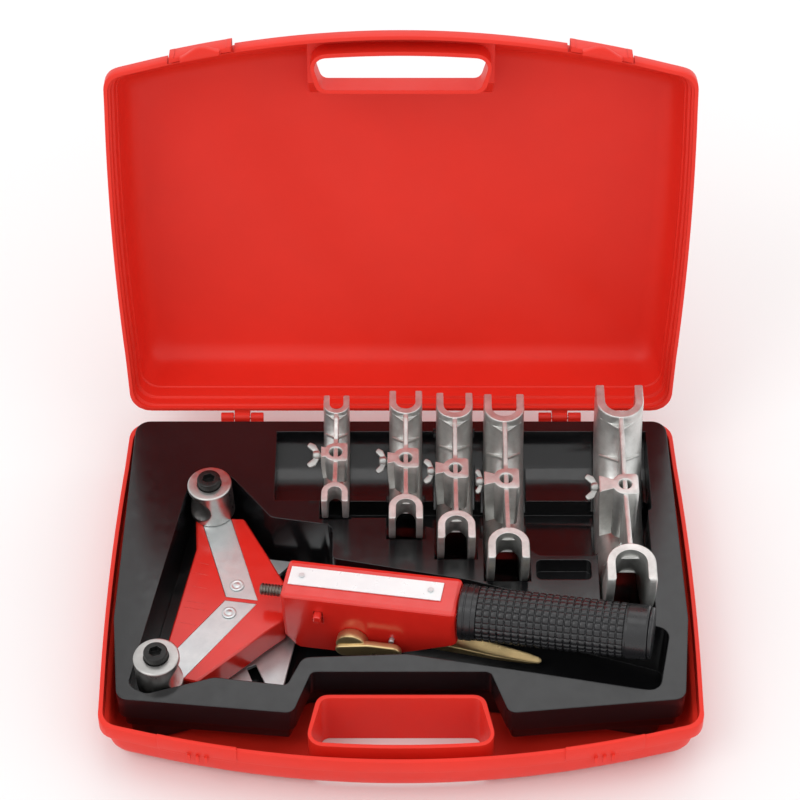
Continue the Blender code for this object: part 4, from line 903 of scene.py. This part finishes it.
class BENDERSET_OT_levers(bpy.types.Operator):
    """Builds the yellow release lever, the finger lever and the small red catch"""

    bl_idname = "benderset.levers"
    bl_label = "Levers"

    def execute(self, context):
        x, z = 0.091, -0.006
        face = -0.0173
        disc = [(face + 0.0083, 0.0044), (face + 0.0003, 0.0048), (face, 0.0104), (face - 0.0008, 0.0110)]
        disc += [(face - 0.0066, 0.0112), (face - 0.0077, 0.0108)]
        disc += [(face - 0.0083, 0.0098), (face - 0.0084, 0.0010)]
        boss = moved(turned(disc, 72, axis="Y"), Matrix.Translation((x, 0, z)))
        ends = [(x - 0.0112, z - 0.0086, 0.0062), (x + 0.0362, z - 0.0074, 0.0060)]
        ends += [(x + 0.0362, z + 0.0058, 0.0060)]
        ends += [(x + 0.0125, z + 0.0062, 0.003), (x - 0.0112, z + 0.0010, 0.004)]
        blade = slab(even(soft_corners(ends, 10), 140), face - 0.0108, face - 0.0050, 0.0016, 6, "XZ")
        fitted(
            "release_lever", [boss, blade], "yellow_zinc", "selector", BENDER_TO_CASE,
            replaces=("selector_lever",),
        )
        along = np.array([0.1160, 0.124, 0.146, 0.166, 0.190, 0.2140, 0.2215, 0.2230])
        middle = np.array([-0.0110, -0.0140, -0.0185, -0.0208, -0.0252, -0.0290, -0.0300, -0.0300])
        thick = np.array([0.0030, 0.0040, 0.0042, 0.0034, 0.0022, 0.0013, 0.0008, 0.0003])
        wide = np.array([0.0060, 0.0070, 0.0072, 0.0072, 0.0062, 0.0042, 0.0026, 0.0008])
        at = np.linspace(along[0], along[-1], 60)
        angle = np.linspace(0, 2 * math.pi, 40, endpoint=False)
        round_x = np.sign(np.cos(angle)) * np.abs(np.cos(angle)) ** 0.35
        round_z = np.sign(np.sin(angle)) * np.abs(np.sin(angle)) ** 0.35
        rows = np.stack(
            [
                at[:, None] + 0 * angle,
                np.interp(at, along, wide)[:, None] * round_x,
                np.interp(at, along, middle)[:, None] + np.interp(at, along, thick)[:, None] * round_z,
            ],
            -1,
        )
        cheek = [(0.115, -0.010, 0.003), (0.126, -0.010, 0.003)]
        cheek += [(0.1234, 0.0072, 0.003), (0.1166, 0.0072, 0.003)]
        cheek = even(soft_corners(cheek), 60)
        cheeks = [slab(cheek, low, low + 0.0030, 0.0004, 3, "XZ") for low in (-0.0066, 0.0036)]
        piece(
            "finger_lever", [skin(rows)] + cheeks, FINISHES["yellow_zinc"], "finger_lever", BENDER_TO_CASE,
            replaces=("trigger",),
        )
        tab = [(0.0642, 0.0126, 0.001), (0.0698, 0.0126, 0.001)]
        tab += [(0.0698, 0.0187, 0.0015), (0.0642, 0.0187, 0.0015)]
        tab = even(soft_corners(tab), 48)
        fitted(
            "red_catch", [slab(tab, -0.0224, -0.0114, 0.0008, 4, "XZ")], "red_paint", "catch",
            BENDER_TO_CASE, replaces=("catch_tab",),
        )
        return {"FINISHED"}


class BENDERSET_OT_bare_parts(bpy.types.Operator):
    """Gives every carried part the finish of its material slot"""

    bl_idname = "benderset.bare_parts"
    bl_label = "Carried parts"

    def execute(self, context):
        for entry in frame["record"]["subparts"]:
            made = frame["nodes"][entry["node"]]
            for place in range(len(made.material_slots)):
                made.material_slots[place].material = FINISHES[entry["material_slot"]]
        return {"FINISHED"}


# ---- the formers
def former_section(diameter, radius, steps=18):
    """The channel's section as (across, distance from the arc's centre): a U that opens outwards."""
    inside, half = diameter * 0.53, half_width(diameter)
    bend = radius - half * 0.9
    turn = np.linspace(0, math.pi, steps)
    lip = 0.0006
    outer = np.c_[half * np.cos(turn), bend - half * np.sin(turn)]
    inner = np.c_[-inside * np.cos(turn), bend - inside * np.sin(turn)]
    left = [(-half, radius - lip), (-half + lip, radius), (-inside - lip, radius), (-inside, radius - lip)]
    right = [(inside, radius - lip), (inside + lip, radius), (half - lip, radius), (half, radius - lip)]
    return np.r_[outer, np.array(left), inner, np.array(right)]


def former_channel(diameter, radius, steps=84):
    """The section carried round a half circle, its ends drawn in a little for a rounded edge."""
    section = former_section(diameter, radius)
    middle = np.array([0.0, (section[:, 1].max() + section[:, 1].min()) / 2])
    angle = np.r_[0, 0.006, np.linspace(0.012, math.pi - 0.012, steps), math.pi - 0.006, math.pi]
    scale = np.ones(len(angle))
    scale[[0, -1]], scale[[1, -2]] = 0.965, 0.99
    size = middle + (section - middle) * scale[:, None, None]
    across, out = size[..., 0], size[..., 1]
    rows = np.stack([across, -out * np.cos(angle)[:, None], -out * np.sin(angle)[:, None]], -1)
    return skin(rows)


def former_shapes(diameter, radius):
    """Channel, web, gussets and boss of one former, about the centre of its arc."""
    half = half_width(diameter)
    floor = radius - half * 1.9
    shapes = [former_channel(diameter, radius)]
    turn = np.linspace(0, math.pi, 60)
    deep = floor + 0.0007
    rim = np.c_[-deep * np.cos(turn), -deep * np.sin(turn) - 0.0003]
    top = [(floor - 0.004, -0.0008), (0.0130, -0.0058), (-0.0130, -0.0058), (0.004 - floor, -0.0008)]
    web = even(np.r_[rim, np.array(top)], 220)
    shapes.append(slab(web, -0.0017, 0.0017, 0.0007, 4, "YZ"))
    for degrees in (8, 34, 62, 118, 146, 172):
        a = math.radians(degrees)
        big = degrees in (34, 62, 118, 146)
        lift = half * (0.95 if big else 0.55) + 0.0030
        foot = floor + half * 0.45
        tip = [(-half * 0.86, foot, 0), (half * 0.86, foot, 0)]
        tip += [(0.0014, foot - lift, 0), (-0.0014, foot - lift, 0)]
        fin = slab(np.array([(u, r) for u, r, _ in tip])[::-1], -0.0009, 0.0009, 0.0003, 3)
        points, faces = fin
        u, r, t = points.T
        y = -r * math.cos(a) - t * math.sin(a)
        z = -r * math.sin(a) + t * math.cos(a)
        shapes.append((np.c_[u, y, z], faces))
    angle = np.linspace(0, 2 * math.pi, 96, endpoint=False)
    boss = min(0.0096, half - 0.0008)
    square = boss / np.maximum(np.abs(np.cos(angle)), np.abs(np.sin(angle)))
    radius_at = np.where(np.cos(angle) > 0, np.minimum(square, boss * 1.3), boss)
    lug = (np.cos(angle) < 0) & (np.abs(np.sin(angle)) * boss < 0.0040)
    radius_at = np.where(lug, (half + 0.0012) / np.maximum(np.abs(np.cos(angle)), 0.5), radius_at)
    ring = np.c_[np.cos(angle), np.sin(angle)]
    levels = [(-floor + 0.004, 0.9), (-0.0145, 1.0), (-0.0056, 1.0), (-0.0051, 0.97), (-0.0050, 0.93)]
    rows = [np.c_[ring * radius_at[:, None] * k, np.full(96, z)] for z, k in levels]
    bore = [(-0.0050, 0.0051), (-0.0055, 0.0047), (-0.0058, 0.0046), (-0.0330, 0.0046)]
    rows += [np.c_[ring * r, np.full(96, z)] for z, r in bore]
    shapes.append(skin(rows))
    return shapes


class BENDERSET_OT_formers(bpy.types.Operator):
    """Builds the five half-round formers with their webs, gussets and bosses"""

    bl_idname = "benderset.formers"
    bl_label = "Formers"

    def execute(self, context):
        for name, (diameter, x, y, z, radius) in FORMERS.items():
            fitted(
                f"saddle_{name}", former_shapes(diameter, radius), "cast_aluminium", f"former_{name}_body",
                Matrix.Translation((x, y, z)), replaces=(f"former_{name}",),
            )
            # A near-black disc at the bottom of each bore: painted shade of the deep hole.
            dark = turned([(-0.0332, 0.0030), (-0.0326, 0.0044), (-0.0324, 0.0044)], 32, axis="Z")
            piece(
                f"bore_shade_disc_{name}", [dark], FINISHES["dark_bore"], f"former_{name}_body",
                Matrix.Translation((x, y, z)),
            )
        return {"FINISHED"}


WING_REACHES = {"10": 0.0097, "18": 0.0058, "22": 0.0097}


class BENDERSET_OT_wing_screws(bpy.types.Operator):
    """Builds the wing screw of each former"""

    bl_idname = "benderset.wing_screws"
    bl_label = "Wing screws"

    def execute(self, context):
        for name, (diameter, x, y, z, _) in FORMERS.items():
            hub = -half_width(diameter) - 0.0018
            reach = WING_REACHES.get(name, 0.0080)
            profile = [(hub - 0.0054, 0.0010), (hub - 0.0054, 0.0026)]
            profile += [(hub - 0.0042, 0.0034), (hub - 0.0012, 0.0036)]
            profile = soft_profile(profile + [(hub, 0.0028), (hub, 0.0018), (-0.0055, 0.0018)], 0.0006)
            shapes = [turned(profile, 40)]
            wing = [(0.26, 0.0016, 0), (0.50, 0.0026, 0.0015), (1.02, 0.0074, 0.0012)]
            wing += [(0.80, 0.0106, 0.0014), (0.34, 0.0084, 0.0015), (0.06, 0.0030, 0.001)]
            wing = [(hub - reach * share, height, radius) for share, height, radius in wing]
            outline = even(soft_corners(wing[::-1], 6), 70)
            for s in (1, -1):
                points, faces = slab(outline, -0.0010, 0.0010, 0.0005, 4)
                points = points * np.array([1, s, 1])
                tilt = Matrix.Rotation(math.radians(14), 4, "X")
                shapes.append(moved((points, faces), tilt))
            # The wings take the darker zinc, which paints their shade.
            piece(
                f"wing_{name}", shapes, FINISHES["wing_zinc"], f"wing_screw_{name}_body",
                Matrix.Translation((x, y, z - 0.0092)), replaces=(f"wing_screw_{name}",),
            )
        return {"FINISHED"}


# ---- stage
class BENDERSET_OT_stage(bpy.types.Operator):
    """Sets out the pale floor, the soft lights and the camera"""

    bl_idname = "benderset.stage"
    bl_label = "Stage"

    def execute(self, context):
        scene = context.scene
        floor = bpy.data.meshes.new("floor")
        floor.from_pydata([(-6, -6, 0), (6, -6, 0), (6, 6, 0), (-6, 6, 0)], [], [(0, 1, 2, 3)])
        pale = bpy.data.materials.new("pale floor")
        pale.use_nodes = True
        pale.node_tree.nodes["Principled BSDF"].inputs["Base Color"].default_value = (0.86, 0.86, 0.86, 1)
        pale.node_tree.nodes["Principled BSDF"].inputs["Roughness"].default_value = 0.8
        floor.materials.append(pale)
        ground = bpy.data.objects.new("floor", floor)
        ground.location.z = -0.0004
        scene.collection.objects.link(ground)
        world = bpy.data.worlds.new("soft room")
        world.use_nodes = True
        world.node_tree.nodes["Background"].inputs["Color"].default_value = (1, 1, 1, 1)
        world.node_tree.nodes["Background"].inputs["Strength"].default_value = 0.95
        scene.world = world
        scene.view_settings.view_transform = "Standard"
        lamps = [("key", (-1.4, -1.0, 2.2), 13.0, 1.4), ("fill", (1.8, -0.8, 1.4), 4.0, 1.6)]
        lamps += [("back", (0.2, 1.6, 1.6), 5.0, 1.2), ("top", (0.0, 0.2, 2.6), 4.0, 1.0)]
        for name, place, power, size in lamps:
            lamp = bpy.data.lights.new(name, "AREA")
            lamp.energy, lamp.size = power, size
            made = bpy.data.objects.new(name, lamp)
            made.location = place
            aim = (Matrix.Translation((0, 0.05, 0.05)).translation - made.location).to_track_quat("-Z", "Y")
            made.rotation_euler = aim.to_euler()
            scene.collection.objects.link(made)
        eye = bpy.data.cameras.new("camera")
        eye.lens, eye.sensor_width, eye.shift_x = 127.87, 36.0, -1 / 800
        camera = bpy.data.objects.new("camera", eye)
        camera.location = (0, -1.2854, 1.6384)
        camera.rotation_euler = (math.radians(42.62), 0, 0)
        scene.collection.objects.link(camera)
        scene.camera = camera
        return {"FINISHED"}


class BENDERSET_OT_finishes(bpy.types.Operator):
    """Mixes the finishes from the panel's colours"""

    bl_idname = "benderset.finishes"
    bl_label = "Finishes"

    def execute(self, context):
        make_finishes(context.scene.benderset_look)
        return {"FINISHED"}


class BenderSetLook(bpy.types.PropertyGroup):
    case_colour: bpy.props.FloatVectorProperty(
        name="Case colour", description="Colour of the moulded case",
        default=(0.80, 0.030, 0.016), subtype="COLOR"
    )
    paint_colour: bpy.props.FloatVectorProperty(
        name="Paint colour", description="Colour of the bender's paint",
        default=(0.72, 0.022, 0.014), subtype="COLOR"
    )
    tray_colour: bpy.props.FloatVectorProperty(
        name="Tray colour", description="Colour of the drawn tray",
        default=(0.009, 0.009, 0.010), subtype="COLOR"
    )
    grip_rows: bpy.props.IntProperty(
        name="Rows of pads", description="Rows of pads round the grip",
        default=24, min=8, max=40
    )


class BENDERSET_PT_panel(bpy.types.Panel):
    """Colours, rows of pads and pieces of the set"""

    bl_label = "Tube bender set"
    bl_idname = "BENDERSET_PT_panel"
    bl_space_type = "VIEW_3D"
    bl_region_type = "UI"
    bl_category = "Bender"

    def draw(self, context):
        look = context.scene.benderset_look
        for name in ("case_colour", "paint_colour", "tray_colour", "grip_rows"):
            self.layout.prop(look, name)
        for step in STEPS:
            self.layout.operator(step.bl_idname)


STEPS = (
    BENDERSET_OT_finishes,
    BENDERSET_OT_bare_parts,
    BENDERSET_OT_case_base,
    BENDERSET_OT_case_lid,
    BENDERSET_OT_latches,
    BENDERSET_OT_tray,
    BENDERSET_OT_head,
    BENDERSET_OT_shoes,
    BENDERSET_OT_rod,
    BENDERSET_OT_grip,
    BENDERSET_OT_levers,
    BENDERSET_OT_formers,
    BENDERSET_OT_wing_screws,
    BENDERSET_OT_stage,
)
CLASSES = (BenderSetLook, BENDERSET_PT_panel) + STEPS


def register():
    for entry in CLASSES:
        bpy.utils.register_class(entry)
    bpy.types.Scene.benderset_look = bpy.props.PointerProperty(type=BenderSetLook)


def unregister():
    del bpy.types.Scene.benderset_look
    for entry in reversed(CLASSES):
        bpy.utils.unregister_class(entry)


def main():
    register()
    for step in STEPS:
        getattr(bpy.ops.benderset, step.bl_idname.split(".")[1])()


if __name__ == "__main__":
    main()
